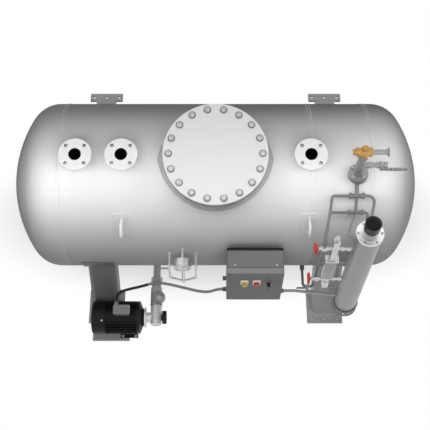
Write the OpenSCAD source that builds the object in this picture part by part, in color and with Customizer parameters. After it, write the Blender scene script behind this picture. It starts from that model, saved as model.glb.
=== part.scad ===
// Horizontal pressure vessel on four legs, with its pump set, control box and level column

/* [Vessel] */
// Outside diameter of the vessel
vessel_od = 1000; // [940:10:1060]
// Wall of the shell and the heads
vessel_wall = 10; // [6:1:14]
// Length of the straight shell between the head seams
shell_len = 1790; // [1750:10:1900]
// Straight rim of a head
head_rim = 51; // [35:1:70]
// Crown radius of a dished head
head_crown_r = 750; // [720:10:800]
// Knuckle radius of a dished head
head_knuckle_r = 176; // [150:2:190]
// Height of the vessel's axis above the floor
axis_h = 625; // [610:5:660]

/* [Manhole and nozzles] */
// Lean of the manhole and nozzles from upright, toward the front
lean = 12; // [8:1:16]
// Diameter of the manhole cover
cover_od = 590; // [570:5:610]
// Thickness of the manhole cover
cover_t = 24; // [16:1:30]
// Height of the cover's top above the shell
cover_stand = 110; // [100:2:130]
// Outside diameter of the manhole neck
neck_od = 508; // [480:2:520]
// Wall of the manhole neck
neck_wall = 10; // [6:1:14]
// Thickness of the neck's flange
neck_flange_t = 26; // [20:1:30]
// Diameter of the reinforcing plate round the neck
neck_pad_od = 664; // [640:4:690]
// Manhole reinforcing plate across the vessel
neck_pad_across = 574; // [560:2:600]
// Place of the left nozzle along the vessel
left_nozzle_x = -784; // [-800:2:-760]
// Place of the middle nozzle along the vessel
middle_nozzle_x = -527; // [-550:2:-510]
// Place of the right nozzle along the vessel
right_nozzle_x = 534; // [510:2:560]
// Height of a nozzle's face above the shell
nozzle_stand = 100; // [90:2:120]
// Outside diameter of a nozzle flange
flange_od = 185; // [175:1:190]
// Thickness of a nozzle flange
flange_t = 18; // [14:1:24]
// Diameter of the raised face on a nozzle flange
flange_face_d = 122; // [112:1:124]
// Bolt circle of a nozzle flange
flange_pcd = 145; // [140:1:150]
// Bolt hole of a nozzle flange
flange_hole = 18; // [12:1:20]
// Bore of a nozzle
nozzle_bore = 70; // [60:1:72]
// Outside diameter of a nozzle pipe
nozzle_pipe_od = 76; // [75:1:84]

/* [Legs and brackets] */
// Place of the legs along the vessel
leg_x = 711; // [690:2:730]
// Width of a leg's front plate
leg_front_w = 120; // [100:2:130]
// Width of a leg across its side plates
leg_w = 168; // [156:2:180]
// Depth of a leg's side plates
leg_depth = 145; // [130:5:160]
// Plate thickness of the legs
leg_plate = 8; // [6:1:12]
// Slope of a leg from upright
leg_slope = 23; // [20:1:26]
// Width of a foot along the vessel
foot_w = 228; // [210:2:240]
// Depth of a foot
foot_d = 230; // [220:2:250]
// Thickness of a foot
foot_t = 15; // [10:1:20]
// Reach of a foot's edge from the vessel's axis
foot_reach = 687; // [670:1:710]
// Anchor hole in a foot or bracket
anchor_hole = 18; // [12:1:20]
// Spacing of the anchor holes
anchor_pitch = 80; // [70:2:84]
// Place of the rear brackets along the vessel
bracket_x = 706; // [690:2:730]
// Height of the rear brackets above the vessel's axis
bracket_rise = 50; // [30:5:70]
// Width of a rear bracket's end
bracket_end_w = 208; // [196:2:220]
// Depth of a rear bracket's end
bracket_end_d = 54; // [46:2:62]
// Width of a rear bracket's arm
bracket_arm_w = 126; // [110:2:140]
// Distance of a rear bracket's edge from the shell
bracket_out = 148; // [130:2:160]
// Plate thickness of a rear bracket
bracket_t = 16; // [10:1:20]
// Place of the lifting eyes along the vessel
eye_x = 533; // [510:2:560]
// Turn of the lifting eyes from the top, toward the front
eye_turn = 55.5; // [50:0.5:60]
// Width of a lifting eye's plate
eye_pad_w = 100; // [80:2:120]
// Height of a lifting eye's plate
eye_pad_h = 142; // [130:2:160]
// Bar of a lifting eye
eye_bar = 18; // [14:1:22]
// Reach of a lifting eye from the shell
eye_reach = 100; // [85:5:120]

/* [Pump set] */
// Shaft height of the motor over its base
motor_shaft_h = 112; // [109:1:120]
// Diameter over the motor's fins
motor_od = 206; // [190:2:208]
// Place of the motor's fan end along the vessel
motor_x = -781; // [-800:1:-760]
// Length of the fan cover
fan_cover_len = 88; // [70:2:100]
// Length of the finned stator housing
stator_len = 196; // [180:2:220]
// Overhang of the pump's base before the front feet
pump_overhang = 120; // [110:2:140]
// Thickness of the pump's base
pump_base_t = 12; // [8:1:16]
// Place of the pump line along the vessel
pump_line_x = -378; // [-390:2:-360]
// Height of the pump line over the motor's shaft
pump_line_rise = 42; // [36:1:50]
// Outside diameter of the pump line's pipe
pump_pipe_od = 48; // [42:1:54]

/* [Control box] */
// Place of the control box's middle along the vessel
box_x = 228; // [200:2:240]
// Width of the control box
box_w = 326; // [300:2:360]
// Depth of the control box
box_d = 160; // [140:2:180]
// Height of the control box
box_h = 408; // [380:2:440]
// Height of the control box's middle over the vessel's axis
box_rise = 5; // [-20:5:30]
// Gap between the control box and the shell
box_gap = 25; // [20:1:40]
// Thickness of the control box's cover
box_cover_t = 34; // [26:1:40]

/* [Level column] */
// Place of the level bottle along the vessel
bottle_x = 813; // [806:1:822]
// Diameter of the level bottle
bottle_od = 140; // [130:2:150]
// Clearance between the level bottle and the shell
bottle_gap = 64; // [63:1:72]
// Height of the level bottle's top over the vessel's axis
bottle_top = 622; // [610:2:636]
// Length of the level bottle's tube
bottle_len = 980; // [960:5:985]
// Diameter of the level bottle's top flange
bottle_flange_od = 148; // [144:1:160]
// Diameter of the slotted skirt under the level bottle
skirt_od = 157; // [154:1:166]
// Height of the slotted skirt
skirt_h = 62; // [50:2:66]
// Diameter of the sensor head on the level bottle
sensor_od = 88; // [76:2:92]
// Place of the sight gauge along the vessel
gauge_x = 652; // [646:1:658]
// Height of the upper gauge valve over the vessel's axis
gauge_upper_z = 436; // [428:1:440]
// Height of the lower gauge valve over the vessel's axis
gauge_lower_z = 15; // [6:1:20]
// Diameter of a gauge handwheel
wheel_od = 68; // [60:1:74]
// Thickness of a gauge handwheel's rim
wheel_t = 13; // [10:1:16]

/* [Stack and pipework] */
// Place of the stack along the vessel
stack_x = 796; // [784:2:806]
// Distance of the stack from the vessel's axis, toward the front
stack_y = 215; // [200:5:230]
// Height of the stack flange's face above the shell's top
stack_stand = 33; // [25:1:45]
// Diameter of the stack flange
stack_flange_od = 112; // [104:1:118]
// Outside diameter of the stack pipe
stack_pipe_od = 42; // [38:1:48]
// Height of the branch over the stack flange
branch_rise = 88; // [80:1:96]
// Height of the safety valve over the stack flange
relief_rise = 226; // [216:1:240]
// Diameter of the level pipes
level_pipe_d = 16; // [12:1:18]

/* [Pressure gauge] */
// Place of the pressure gauge along the vessel
dial_x = -193; // [-210:1:-180]
// Diameter of the pressure gauge
dial_od = 105; // [95:1:115]
// Depth of the pressure gauge's case
dial_depth = 45; // [36:1:55]
// Height of the pressure gauge over the vessel's axis
dial_rise = 98; // [90:1:110]
// Spacing of the pressure loop's two legs
loop_pitch = 155; // [145:1:165]

/* [Hidden] */
$fn = 64;

// Clearance of a piece seated on the shell, and of a pipe in its hole
seat = 0.3;
fit = 0.3;
// Running clearance of a spindle in its bore, on the radius
run = 0.1;
eps = 1;
// Cylinders above this radius are drawn with more sides
large_r = 150;

vessel_r = vessel_od / 2;
inner_r = vessel_r - vessel_wall;
shell_half = shell_len / 2;
floor_z = -axis_h;
// The pump's base reaches past the front feet, so the vessel's axis lies behind the middle
axis_y = pump_overhang / 2;

module at_axis() {
    translate([0, axis_y, axis_h]) children();
}

// Upright frame turned about the vessel's axis: local z points out of the shell
module turned(x, turn) {
    translate([x, 0, 0]) rotate([turn, 0, 0]) children();
}

module level_bottle_place() {
    translate([bottle_x, bottle_y, 0]) children();
}

module x_cyl(r, x0, x1) {
    translate([x0, 0, 0]) rotate([0, 90, 0]) cylinder(r = r, h = x1 - x0, $fn = r > large_r ? 256 : $fn);
}

module y_cyl(r, y0, y1) {
    translate([0, y0, 0]) rotate([-90, 0, 0]) cylinder(r = r, h = y1 - y0);
}

module z_cyl(r, z0, z1) {
    translate([0, 0, z0]) cylinder(r = r, h = z1 - z0);
}

// Box between two heights, centred on x and running from y0 to y1
module slab(w, y0, y1, z0, z1) {
    translate([-w / 2, y0, z0]) cube([w, y1 - y0, z1 - z0]);
}

// Rounded rectangle about the origin
module round_rect(w, h, r) {
    square([w - 2 * r, h], center = true);
    square([w, h - 2 * r], center = true);
    for (sx = [-1, 1], sy = [-1, 1])
        translate([sx * (w / 2 - r), sy * (h / 2 - r)]) circle(r = r);
}

function unit(v) = v / norm(v);

// Straight rod between two points
module rod(p, q, r) {
    v = q - p;
    translate(p) rotate([0, acos(v.z / norm(v)), atan2(v.y, v.x)]) cylinder(r = r, h = norm(v));
}

function bend_cut(p, i, bend) =
    (i == 0 || i == len(p) - 1) ? 0 :
    bend * tan(acos(unit(p[i] - p[i - 1]) * unit(p[i + 1] - p[i])) / 2);

// A bend is a little thicker than its straight runs, which reach a little way into it
bend_grow = 0.2;
bend_lap = 1.5;

function run_cut(p, i, bend) = (i == 0 || i == len(p) - 1) ? 0 : bend_cut(p, i, bend) - bend_lap;

// Bent pipe through corner points, with an arc of radius bend at every corner
module pipe(p, r, bend) {
    for (i = [0 : len(p) - 2]) {
        d = unit(p[i + 1] - p[i]);
        rod(p[i] + d * run_cut(p, i, bend), p[i + 1] - d * run_cut(p, i + 1, bend), r);
    }
    for (i = [1 : len(p) - 2]) {
        a = unit(p[i] - p[i - 1]);
        b = unit(p[i + 1] - p[i]);
        turn = acos(a * b);
        start = p[i] - a * bend_cut(p, i, bend);
        inward = unit(b - a * (a * b));
        axis = cross(-inward, a);
        c = start + inward * bend;
        multmatrix([
            [-inward.x, a.x, axis.x, c.x],
            [-inward.y, a.y, axis.y, c.y],
            [-inward.z, a.z, axis.z, c.z],
            [0, 0, 0, 1]
        ]) rotate_extrude(angle = turn) translate([bend, 0]) circle(r = r + bend_grow);
    }
}

// Hexagon nut along x
module x_hex(across, x0, x1) {
    translate([x0, 0, 0]) rotate([0, 90, 0]) cylinder(d = across / cos(30), h = x1 - x0, $fn = 6);
}

// Half profile of a dished head: knuckle arc and crown arc that meet in one tangent
module dome(rim_r, crown_r, knuckle_r) {
    offset_in = rim_r - knuckle_r;
    crown_drop = sqrt(pow(crown_r - knuckle_r, 2) - pow(offset_in, 2));
    intersection() {
        square([rim_r, crown_r]);
        union() {
            translate([offset_in, 0]) circle(r = knuckle_r);
            intersection() {
                translate([0, -crown_drop]) circle(r = crown_r, $fn = 128);
                polygon([
                    [0, -crown_drop],
                    [2 * offset_in, crown_drop],
                    [2 * offset_in, crown_r],
                    [0, crown_r]
                ]);
            }
        }
    }
}

// Head with its rim at z = 0 and its crown up
module head() {
    rotate_extrude($fn = 96) difference() {
        union() {
            square([vessel_r, head_rim]);
            translate([0, head_rim]) dome(vessel_r, head_crown_r, head_knuckle_r);
        }
        translate([0, -eps]) square([inner_r, head_rim + eps]);
        translate([0, head_rim])
            dome(inner_r, head_crown_r - vessel_wall, head_knuckle_r - vessel_wall);
    }
}

module left_head() {
    color("silver") at_axis() translate([-shell_half, 0, 0]) rotate([0, -90, 0]) head();
}

module right_head() {
    color("silver") at_axis() translate([shell_half, 0, 0]) rotate([0, 90, 0]) head();
}

nozzle_places = [left_nozzle_x, middle_nozzle_x, right_nozzle_x];
nozzle_bevel = 1;
suction_rise_y = -0.62 * vessel_r;

module shell() {
    color("silver") at_axis() difference() {
        x_cyl(vessel_r, -shell_half, shell_half);
        x_cyl(inner_r, -shell_half - eps, shell_half + eps);
        turned(0, lean) cylinder(r = neck_od / 2 + fit, h = vessel_od);
        for (x = nozzle_places) turned(x, lean) cylinder(r = nozzle_bore / 2 + nozzle_bevel, h = vessel_od);
        translate([stack_x, -stack_y, 0]) cylinder(r = stack_pipe_od / 2 + fit, h = vessel_od);
        translate([pump_line_x, suction_rise_y, -vessel_od])
            cylinder(r = pump_pipe_od / 2 + fit, h = vessel_od);
    }
}

cover_top = vessel_r + cover_stand;
gasket = 0.5;
neck_top = cover_top - cover_t - gasket;
neck_pad_t = 8;
// The plate's two edge arcs meet at its ends along the vessel
neck_pad_r = (neck_pad_od * neck_pad_od / neck_pad_across + neck_pad_across) / 4;
neck_pad_shift = neck_pad_r - neck_pad_across / 2;

module manhole_neck() {
    color("gainsboro") at_axis() turned(0, lean) {
        difference() {
            union() {
                z_cyl(neck_od / 2, 0, neck_top);
                z_cyl(cover_od / 2, neck_top - neck_flange_t, neck_top);
            }
            z_cyl(neck_od / 2 - neck_wall, -eps, neck_top + eps);
            x_cyl(inner_r, -vessel_r, vessel_r);
        }
        intersection() {
            difference() {
                intersection() {
                    translate([0, neck_pad_shift, 0]) z_cyl(neck_pad_r, 0, cover_top);
                    translate([0, -neck_pad_shift, 0]) z_cyl(neck_pad_r, 0, cover_top);
                }
                z_cyl(neck_od / 2 - neck_wall / 2, -eps, cover_top + eps);
            }
            difference() {
                x_cyl(vessel_r + neck_pad_t, -vessel_r, vessel_r);
                x_cyl(vessel_r + seat, -vessel_r - eps, vessel_r + eps);
            }
        }
    }
}

module manhole_cover() {
    color("whitesmoke") at_axis() turned(0, lean) z_cyl(cover_od / 2, cover_top - cover_t, cover_top);
}

nozzle_face = vessel_r + nozzle_stand;
raised_face_t = 3;
hub_len = 30;
hub_extra = 9;
nozzle_bevel_h = 4;

// Weld neck flange on a pipe that is set on the shell, with a bevel inside its lower end
module nozzle(x) {
    back = nozzle_face - raised_face_t - flange_t;
    pipe_r = nozzle_pipe_od / 2;
    bore_r = nozzle_bore / 2;
    color("gainsboro") at_axis() turned(x, lean) difference() {
        rotate_extrude() polygon([
            [bore_r + 2 * nozzle_bevel, vessel_r - nozzle_bevel_h], [pipe_r, vessel_r - nozzle_bevel_h],
            [pipe_r, back - hub_len], [pipe_r + hub_extra, back],
            [flange_od / 2, back], [flange_od / 2, back + flange_t],
            [flange_face_d / 2, back + flange_t], [flange_face_d / 2, nozzle_face],
            [bore_r, nozzle_face], [bore_r, vessel_r + nozzle_bevel_h]
        ]);
        x_cyl(vessel_r + seat, -flange_od, flange_od);
        for (a = [45 : 90 : 315])
            rotate([0, 0, a]) translate([flange_pcd / 2, 0, back - eps])
                cylinder(d = flange_hole, h = flange_t + 2 * eps);
    }
}

module left_nozzle() { nozzle(left_nozzle_x); }
module middle_nozzle() { nozzle(middle_nozzle_x); }
module right_nozzle() { nozzle(right_nozzle_x); }

leg_pad_t = 8;
leg_pad_w = leg_w + 26;
leg_pad_from = 97;
leg_pad_to = 152;
foot_set_back = 58;
anchor_edge = 27;
wing_edge = 18;
wing_row = 150;

// Folded channel section of a leg: front plate, slanted corners and side plates
module leg_section() {
    corner = (leg_w - leg_front_w) / 2;
    outer = [
        [-leg_w / 2, leg_depth], [-leg_w / 2, corner], [-leg_front_w / 2, 0],
        [leg_front_w / 2, 0], [leg_w / 2, corner], [leg_w / 2, leg_depth]
    ];
    flat = leg_front_w / 2 - leg_plate * tan(22.5);
    side = leg_w / 2 - leg_plate;
    difference() {
        polygon(outer);
        polygon([
            [-side, leg_depth + eps], [-side, corner + leg_plate * tan(22.5)], [-flat, leg_plate],
            [flat, leg_plate], [side, corner + leg_plate * tan(22.5)], [side, leg_depth + eps]
        ]);
    }
}

// Ring sector of a plate on the shell, between two turns from the top toward the front
module shell_plate(w, t, from, to) {
    far = 2 * vessel_r;
    intersection() {
        difference() {
            x_cyl(vessel_r + t, -w / 2, w / 2);
            x_cyl(vessel_r + seat, -w, w);
        }
        rotate([90, 0, 90]) linear_extrude(height = 2 * w, center = true) polygon([
            [0, 0], [-far * sin(from), far * cos(from)], [-far * sin(to), far * cos(to)]
        ]);
    }
}

// Front leg about x = 0, welded to its foot and to a plate on the shell
module leg() {
    color("darkgray") {
        difference() {
            translate([0, -foot_reach + foot_set_back, floor_z]) rotate([-leg_slope, 0, 0])
                translate([0, 0, -leg_depth]) linear_extrude(height = axis_h + leg_depth) leg_section();
            x_cyl(vessel_r + leg_pad_t / 2, -leg_w, leg_w);
            slab(2 * leg_w, -2 * foot_reach, foot_reach, -2 * axis_h, floor_z + foot_t / 2);
            slab(2 * leg_w, -foot_reach, foot_reach, 0, axis_h);
        }
        shell_plate(leg_pad_w, leg_pad_t, leg_pad_from, leg_pad_to);
        difference() {
            slab(foot_w, -foot_reach, foot_d - foot_reach, floor_z, floor_z + foot_t);
            for (x = [-1, 0, 1]) translate([x * anchor_pitch, anchor_edge - foot_reach, floor_z - eps])
                cylinder(d = anchor_hole, h = foot_t + 2 * eps);
            for (x = [-1, 1]) translate([x * (foot_w / 2 - wing_edge), wing_row - foot_reach, floor_z - eps])
                cylinder(d = anchor_hole, h = foot_t + 2 * eps);
        }
    }
}

module front_left_leg() { at_axis() translate([-leg_x, 0, 0]) leg(); }
module front_right_leg() { at_axis() translate([leg_x, 0, 0]) leg(); }
module rear_left_leg() { at_axis() translate([-leg_x, 0, 0]) mirror([0, 1, 0]) leg(); }
module rear_right_leg() { at_axis() translate([leg_x, 0, 0]) mirror([0, 1, 0]) leg(); }

gusset_t = 10;
gusset_h = 84;

// Horizontal T plate on the back of the shell, with a gusset under its arm
module rear_bracket() {
    edge = vessel_r + bracket_out;
    end_y = edge - bracket_end_d;
    top = bracket_rise;
    color("darkgray") difference() {
        union() {
            slab(bracket_arm_w, 0, end_y + eps, top - bracket_t, top);
            slab(bracket_end_w, end_y, edge, top - bracket_t, top);
            translate([gusset_t / 2, 0, top - bracket_t]) rotate([90, 0, -90])
                linear_extrude(height = gusset_t)
                    polygon([
                        [0, eps], [-edge + bracket_end_d / 2, eps],
                        [-vessel_r, -gusset_h], [0, -gusset_h]
                    ]);
        }
        x_cyl(vessel_r + seat, -bracket_end_w, bracket_end_w);
        for (x = [-1, 0, 1]) translate([x * anchor_pitch, edge - bracket_end_d / 2, top - bracket_t - eps])
            cylinder(d = anchor_hole, h = bracket_t + 2 * eps);
    }
}

module rear_left_bracket() { at_axis() translate([-bracket_x, 0, 0]) rear_bracket(); }
module rear_right_bracket() { at_axis() translate([bracket_x, 0, 0]) rear_bracket(); }

eye_pad_t = 8;
eye_pad_corner = 18;
eye_half = 46;

// Rounded plate on the shell with a bent bar that stands out of it
module lifting_eye(x) {
    arc_z = vessel_r + eye_reach - eye_bar / 2 - eye_half;
    color("silver") at_axis() turned(x, eye_turn) difference() {
        union() {
            intersection() {
                linear_extrude(height = 2 * vessel_r) round_rect(eye_pad_w, eye_pad_h, eye_pad_corner);
                x_cyl(vessel_r + eye_pad_t, -eye_pad_w, eye_pad_w);
            }
            for (s = [-1, 1]) translate([0, s * eye_half, 0]) z_cyl(eye_bar / 2, vessel_r - eye_bar, arc_z);
            translate([0, 0, arc_z]) rotate([90, 0, 90]) rotate_extrude(angle = 180)
                translate([eye_half, 0]) circle(d = eye_bar);
        }
        x_cyl(vessel_r + seat, -2 * eye_pad_w, 2 * eye_pad_w);
    }
}

module left_lifting_eye() { lifting_eye(-eye_x); }
module right_lifting_eye() { lifting_eye(eye_x); }

// Pump set on a folded base that is bolted over the front left foot
pump_base_z = floor_z + foot_t + pump_base_t;
motor_z = pump_base_z + motor_shaft_h;
motor_y = -foot_reach - 9;
motor_r = motor_od / 2;
stator_x = motor_x + fan_cover_len;
shield_x = stator_x + stator_len;
shield_len = 46;
pump_base_x0 = motor_x - 9;
pump_base_x1 = shield_x - 56;
pump_base_back = -foot_reach + 46;

module pump_base() {
    front = -foot_reach - pump_overhang;
    color("gray") at_axis() {
        translate([pump_base_x0, front, pump_base_z - pump_base_t])
            cube([pump_base_x1 - pump_base_x0, pump_base_back - front, pump_base_t]);
        translate([pump_base_x0, front, floor_z])
            cube([pump_base_x1 - pump_base_x0, pump_base_t, foot_t + pump_base_t]);
    }
}

fin_count = 32;
fin_h = 13;
fin_t = 4;
motor_foot_w = 40;
motor_foot_t = 14;
motor_foot_len = 112;
motor_foot_gauge = 160;

// Finned stator housing with its end shield, shaft neck and two feet
module motor() {
    core_r = motor_r - fin_h;
    color("dimgray") at_axis() translate([0, motor_y, motor_z]) {
        translate([stator_x, 0, 0]) rotate([90, 0, 90]) linear_extrude(height = stator_len) {
            circle(r = core_r);
            for (i = [0 : fin_count - 1]) rotate((i + 0.5) * 360 / fin_count)
                translate([core_r - eps, -fin_t / 2]) square([fin_h + eps, fin_t]);
        }
        translate([shield_x, 0, 0]) rotate([0, 90, 0]) rotate_extrude() polygon([
            [0, 0], [motor_r, 0], [motor_r, 0.4 * shield_len], [0.62 * motor_r, 0.75 * shield_len],
            [0.42 * motor_r, shield_len], [0, shield_len]
        ]);
        difference() {
            for (s = [-1, 1]) translate([shield_x - motor_foot_len, 0, -motor_shaft_h])
                translate([0, s * motor_foot_gauge / 2 - motor_foot_w / 2, 0]) {
                    cube([motor_foot_len, motor_foot_w, motor_foot_t]);
                    translate([0, motor_foot_w / 2 - motor_foot_t / 2, 0])
                        cube([motor_foot_len, motor_foot_t, motor_shaft_h - 0.35 * motor_r]);
                }
            x_cyl(core_r - eps, stator_x - eps, shield_x + eps);
        }
    }
}

fan_cover_round = 14;
fan_cover_over = 3;
grille_rings = 5;
grille_slot = 8;
grille_depth = 6;

// Hood over the fan, round at its rim, with a ring grille in its end
module fan_cover() {
    r = motor_r + fan_cover_over;
    color("black") at_axis() translate([motor_x, motor_y, motor_z]) rotate([0, 90, 0]) rotate_extrude()
        difference() {
            union() {
                square([r - fan_cover_round, fan_cover_len]);
                translate([r - fan_cover_round - eps, fan_cover_round])
                    square([fan_cover_round + eps, fan_cover_len - fan_cover_round]);
                translate([r - fan_cover_round, fan_cover_round]) circle(r = fan_cover_round);
            }
            for (i = [1 : grille_rings]) translate([i * r / (grille_rings + 2), -eps])
                square([grille_slot, grille_depth + eps]);
        }
}

terminal_w = 104;
terminal_d = 60;
terminal_rise = 34;
terminal_lid_t = 12;
terminal_corner = 8;
terminal_x = stator_x + 0.55 * stator_len;
terminal_z = motor_z + motor_r;
cable_d = 18;
gland_d = 27;
gland_len = 22;
gland_side = 37;
gland_out = 26;
gland_root = 10;
terminal_lid_over = [12, 8];
cable_start = [
    terminal_x - gland_side,
    motor_y + terminal_d / 2 + gland_out,
    terminal_z + terminal_rise / 2
];
conduit_fall = 80;

// Terminal box on top of the stator, with a lid and a cable gland at the back
module terminal_box() {
    color("gray") at_axis() {
        translate([terminal_x, motor_y, terminal_z + seat]) {
            linear_extrude(height = terminal_rise)
                round_rect(
                    terminal_w - terminal_lid_over.x,
                    terminal_d - terminal_lid_over.y,
                    terminal_corner
                );
            translate([0, 0, terminal_rise - eps]) linear_extrude(height = terminal_lid_t)
                round_rect(terminal_w, terminal_d, terminal_corner);
        }
        translate([cable_start.x, 0, cable_start.z])
            y_cyl(gland_d / 2, motor_y + terminal_d / 2 - gland_root, cable_start.y);
    }
}

line_z = motor_z + pump_line_rise;
barrel_d = 72;
barrel_rise = 14;
barrel_front = motor_y - 54;
barrel_back = motor_y + 69;
barrel_rim = 10;
valve_d = 84;
valve_bulge = 16;
coupling_d = 66;
coupling_flange_t = 10;

// Pump barrel along the line, on the motor's shaft end
module pump() {
    x0 = shield_x + shield_len + seat;
    color("dimgray") at_axis() {
        translate([0, motor_y, motor_z]) {
            x_cyl(coupling_d / 2, x0, pump_line_x);
            x_cyl(0.62 * motor_r, x0, x0 + coupling_flange_t);
        }
        translate([pump_line_x, 0, motor_z + barrel_rise]) {
            y_cyl(barrel_d / 2, barrel_front + barrel_rim, barrel_back);
            y_cyl(barrel_d / 2 - barrel_rim / 2, barrel_front, barrel_back);
        }
    }
}

strainer_d = 84;
strainer_neck_d = 40;
strainer_out = 66;
strainer_t = 26;

// Strainer cap on the barrel's right side
module strainer() {
    color("black") at_axis() translate([pump_line_x, 0, motor_z]) difference() {
        translate([0, motor_y, 0]) {
            x_cyl(strainer_neck_d / 2, 0, strainer_out);
            x_cyl(strainer_d / 2, strainer_out - strainer_t, strainer_out);
        }
        translate([0, 0, barrel_rise]) y_cyl(barrel_d / 2 + seat, barrel_front - eps, barrel_back + eps);
    }
}

union_af = 62;
union_len = 34;
union_in = 26;
neck_collar_over = 6;
neck_collar_half = 30;
valve_neck_in = 6;
valve_foot_in = 4;
valve_end_out = 16;
elbow_bend = 60;
vent_d = 12;
vent_reach = 72;
vent_y = -0.75 * vessel_r;

// Suction line from the shell's underside to the cast valve behind the pump
module suction_line() {
    pump_back = barrel_back + seat;
    color("darkgray") at_axis() difference() {
        union() {
            pipe([
                [pump_line_x, -vessel_r + union_in / 2, line_z], [pump_line_x, suction_rise_y, line_z],
                [pump_line_x, suction_rise_y, -inner_r * 0.6]
            ], pump_pipe_od / 2, elbow_bend);
            translate([pump_line_x, 0, line_z]) {
                rotate([-90, 0, 0]) translate([0, 0, -vessel_r + union_in])
                    cylinder(d = union_af / cos(30), h = union_len, $fn = 6);
                y_cyl(valve_d / 2 - valve_neck_in, pump_back, -vessel_r - valve_end_out);
                y_cyl(
                    pump_pipe_od / 2 + neck_collar_over,
                    -vessel_r - neck_collar_half,
                    -vessel_r + neck_collar_half
                );
                translate([valve_bulge, pump_back + 0.6 * valve_d, 0]) sphere(d = valve_d);
                translate([0, vent_y, 0]) x_cyl(vent_d / 2, 0, vent_reach);
            }
            translate([pump_line_x, 0, motor_z + barrel_rise])
                y_cyl(valve_d / 2 - valve_foot_in, pump_back, pump_back + 0.45 * valve_d);
        }
        x_cyl(inner_r, -shell_half, shell_half);
    }
}

box_left = box_x - box_w / 2;
box_right = box_x + box_w / 2;
box_back = -vessel_r - box_gap;
box_front = box_back - box_d;
box_low = box_rise - box_h / 2;
box_high = box_rise + box_h / 2;
box_round = 10;
cover_groove = 3;
cover_groove_in = 6;
cable_end_y = box_front + 60;
cable_end_z = box_low + 21;
conduit_y = box_front + 51;
conduit_z = box_low + 16;
spare_gland_back = 52;
spare_gland_up = 46;
bracket_strap_w = 40;
bracket_strap_in = 90;

// Rounded upright box prism between two depths
module box_prism(w, h, y0, y1) {
    translate([box_x, y1, box_rise]) rotate([90, 0, 0]) linear_extrude(height = y1 - y0)
        round_rect(w, h, box_round);
}

// Enclosure with glands on its sides and two straps to the shell
module control_box() {
    color("dimgray") at_axis() difference() {
        union() {
            box_prism(box_w, box_h, box_front + box_cover_t + cover_groove, box_back);
            box_prism(
                box_w - 2 * cover_groove_in,
                box_h - 2 * cover_groove_in,
                box_front + box_cover_t,
                box_back
            );
            for (s = [-1, 1]) translate([box_x + s * box_w / 4, 0, 0])
                slab(
                    bracket_strap_w,
                    box_back - eps,
                    -vessel_r / 2,
                    box_low + bracket_strap_in,
                    box_high - bracket_strap_in
                );
            translate([0, cable_end_y, cable_end_z])
                x_cyl(gland_d / 2, box_left - gland_len, box_left + eps);
            translate([0, conduit_y, conduit_z]) x_cyl(gland_d / 2, box_right - eps, box_right + gland_len);
            translate([0, cable_end_y + spare_gland_back, cable_end_z + spare_gland_up])
                x_cyl(gland_d / 2, box_left - gland_len, box_left + eps);
        }
        x_cyl(vessel_r + seat, box_left - eps, box_right + eps);
    }
}

switch_x = box_x + 81;
switch_z = box_rise + 61;
switch_d = 26;
spindle_d = 8;
spindle_len = 10;

// Folded cover with a bore for the switch spindle
module control_cover() {
    color("gray") at_axis() difference() {
        box_prism(box_w, box_h, box_front, box_front + box_cover_t - seat);
        translate([switch_x, 0, switch_z])
            y_cyl(spindle_d / 2 + run, box_front - eps, box_front + spindle_len + stem_end_gap);
    }
}

lamp_d = 30;
lamp_out = 22;
button_out = 16;
bezel_over = 8;
bezel_t = 5;
lamp_x = box_x - 60;
button_x = box_x + 11;

module front_control(x, d, out) {
    at_axis() translate([x, box_front - seat, switch_z]) rotate([90, 0, 0]) {
        cylinder(d = d + bezel_over, h = bezel_t);
        cylinder(d = d, h = out);
    }
}

module signal_lamp() { color("gold") front_control(lamp_x, lamp_d, lamp_out); }
module stop_button() { color("firebrick") front_control(button_x, lamp_d, button_out); }

knob_out = 22;
knob_rim_t = 8;
knob_bar_w = 9;

// Selector knob with a finger bar, turning on its spindle
module selector_switch() {
    color("black") at_axis() translate([switch_x, box_front - seat, switch_z]) {
        rotate([90, 0, 0]) cylinder(d = switch_d + bezel_over, h = knob_rim_t);
        rotate([90, 0, 0]) linear_extrude(height = knob_out) square([knob_bar_w, switch_d], center = true);
        y_cyl(spindle_d / 2, -eps, spindle_len);
    }
}

// Free cable from the motor over the pump line to the control box: each part is a straight line plus sags
cable_over = [pump_line_x, -vessel_r + 6, line_z + pump_pipe_od / 2 + cable_d / 2 + 10];
cable_end = [box_left - gland_len - seat, cable_end_y, cable_end_z];
cable_sag_1 = [
    [0, 0, 0], [-22, 5, 3], [-43, 9, 6], [-58, 13, 9], [-67, 14, 11], [-73, 12, 12],
    [-71, 8, 12], [-63, 5, 11], [-45, 4, 8], [-28, 5, 6], [-15, 4, 2], [0, 0, 0]
];
cable_sag_2 = [
    [0, 0, 0], [6, 8, -17], [13, 10, -32], [31, 6, -43], [49, -1, -50], [66, -11, -49],
    [79, -21, -40], [86, -28, -23], [81, -31, -4], [69, -30, 15], [52, -26, 25], [36, -19, 25],
    [18, -10, 17], [0, 0, 0]
];

function sagged(p, q, sag) = [for (i = [0 : len(sag) - 1]) p + (q - p) * i / (len(sag) - 1) + sag[i]];

cable_route = concat(
    sagged(cable_start + [0, seat, 0], cable_over, cable_sag_1),
    [for (i = [1 : len(cable_sag_2) - 1]) sagged(cable_over, cable_end, cable_sag_2)[i]]
);

cable_sides = 10;

function tangent(p, i) = unit(p[min(i + 1, len(p) - 1)] - p[max(i - 1, 0)]);

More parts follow.
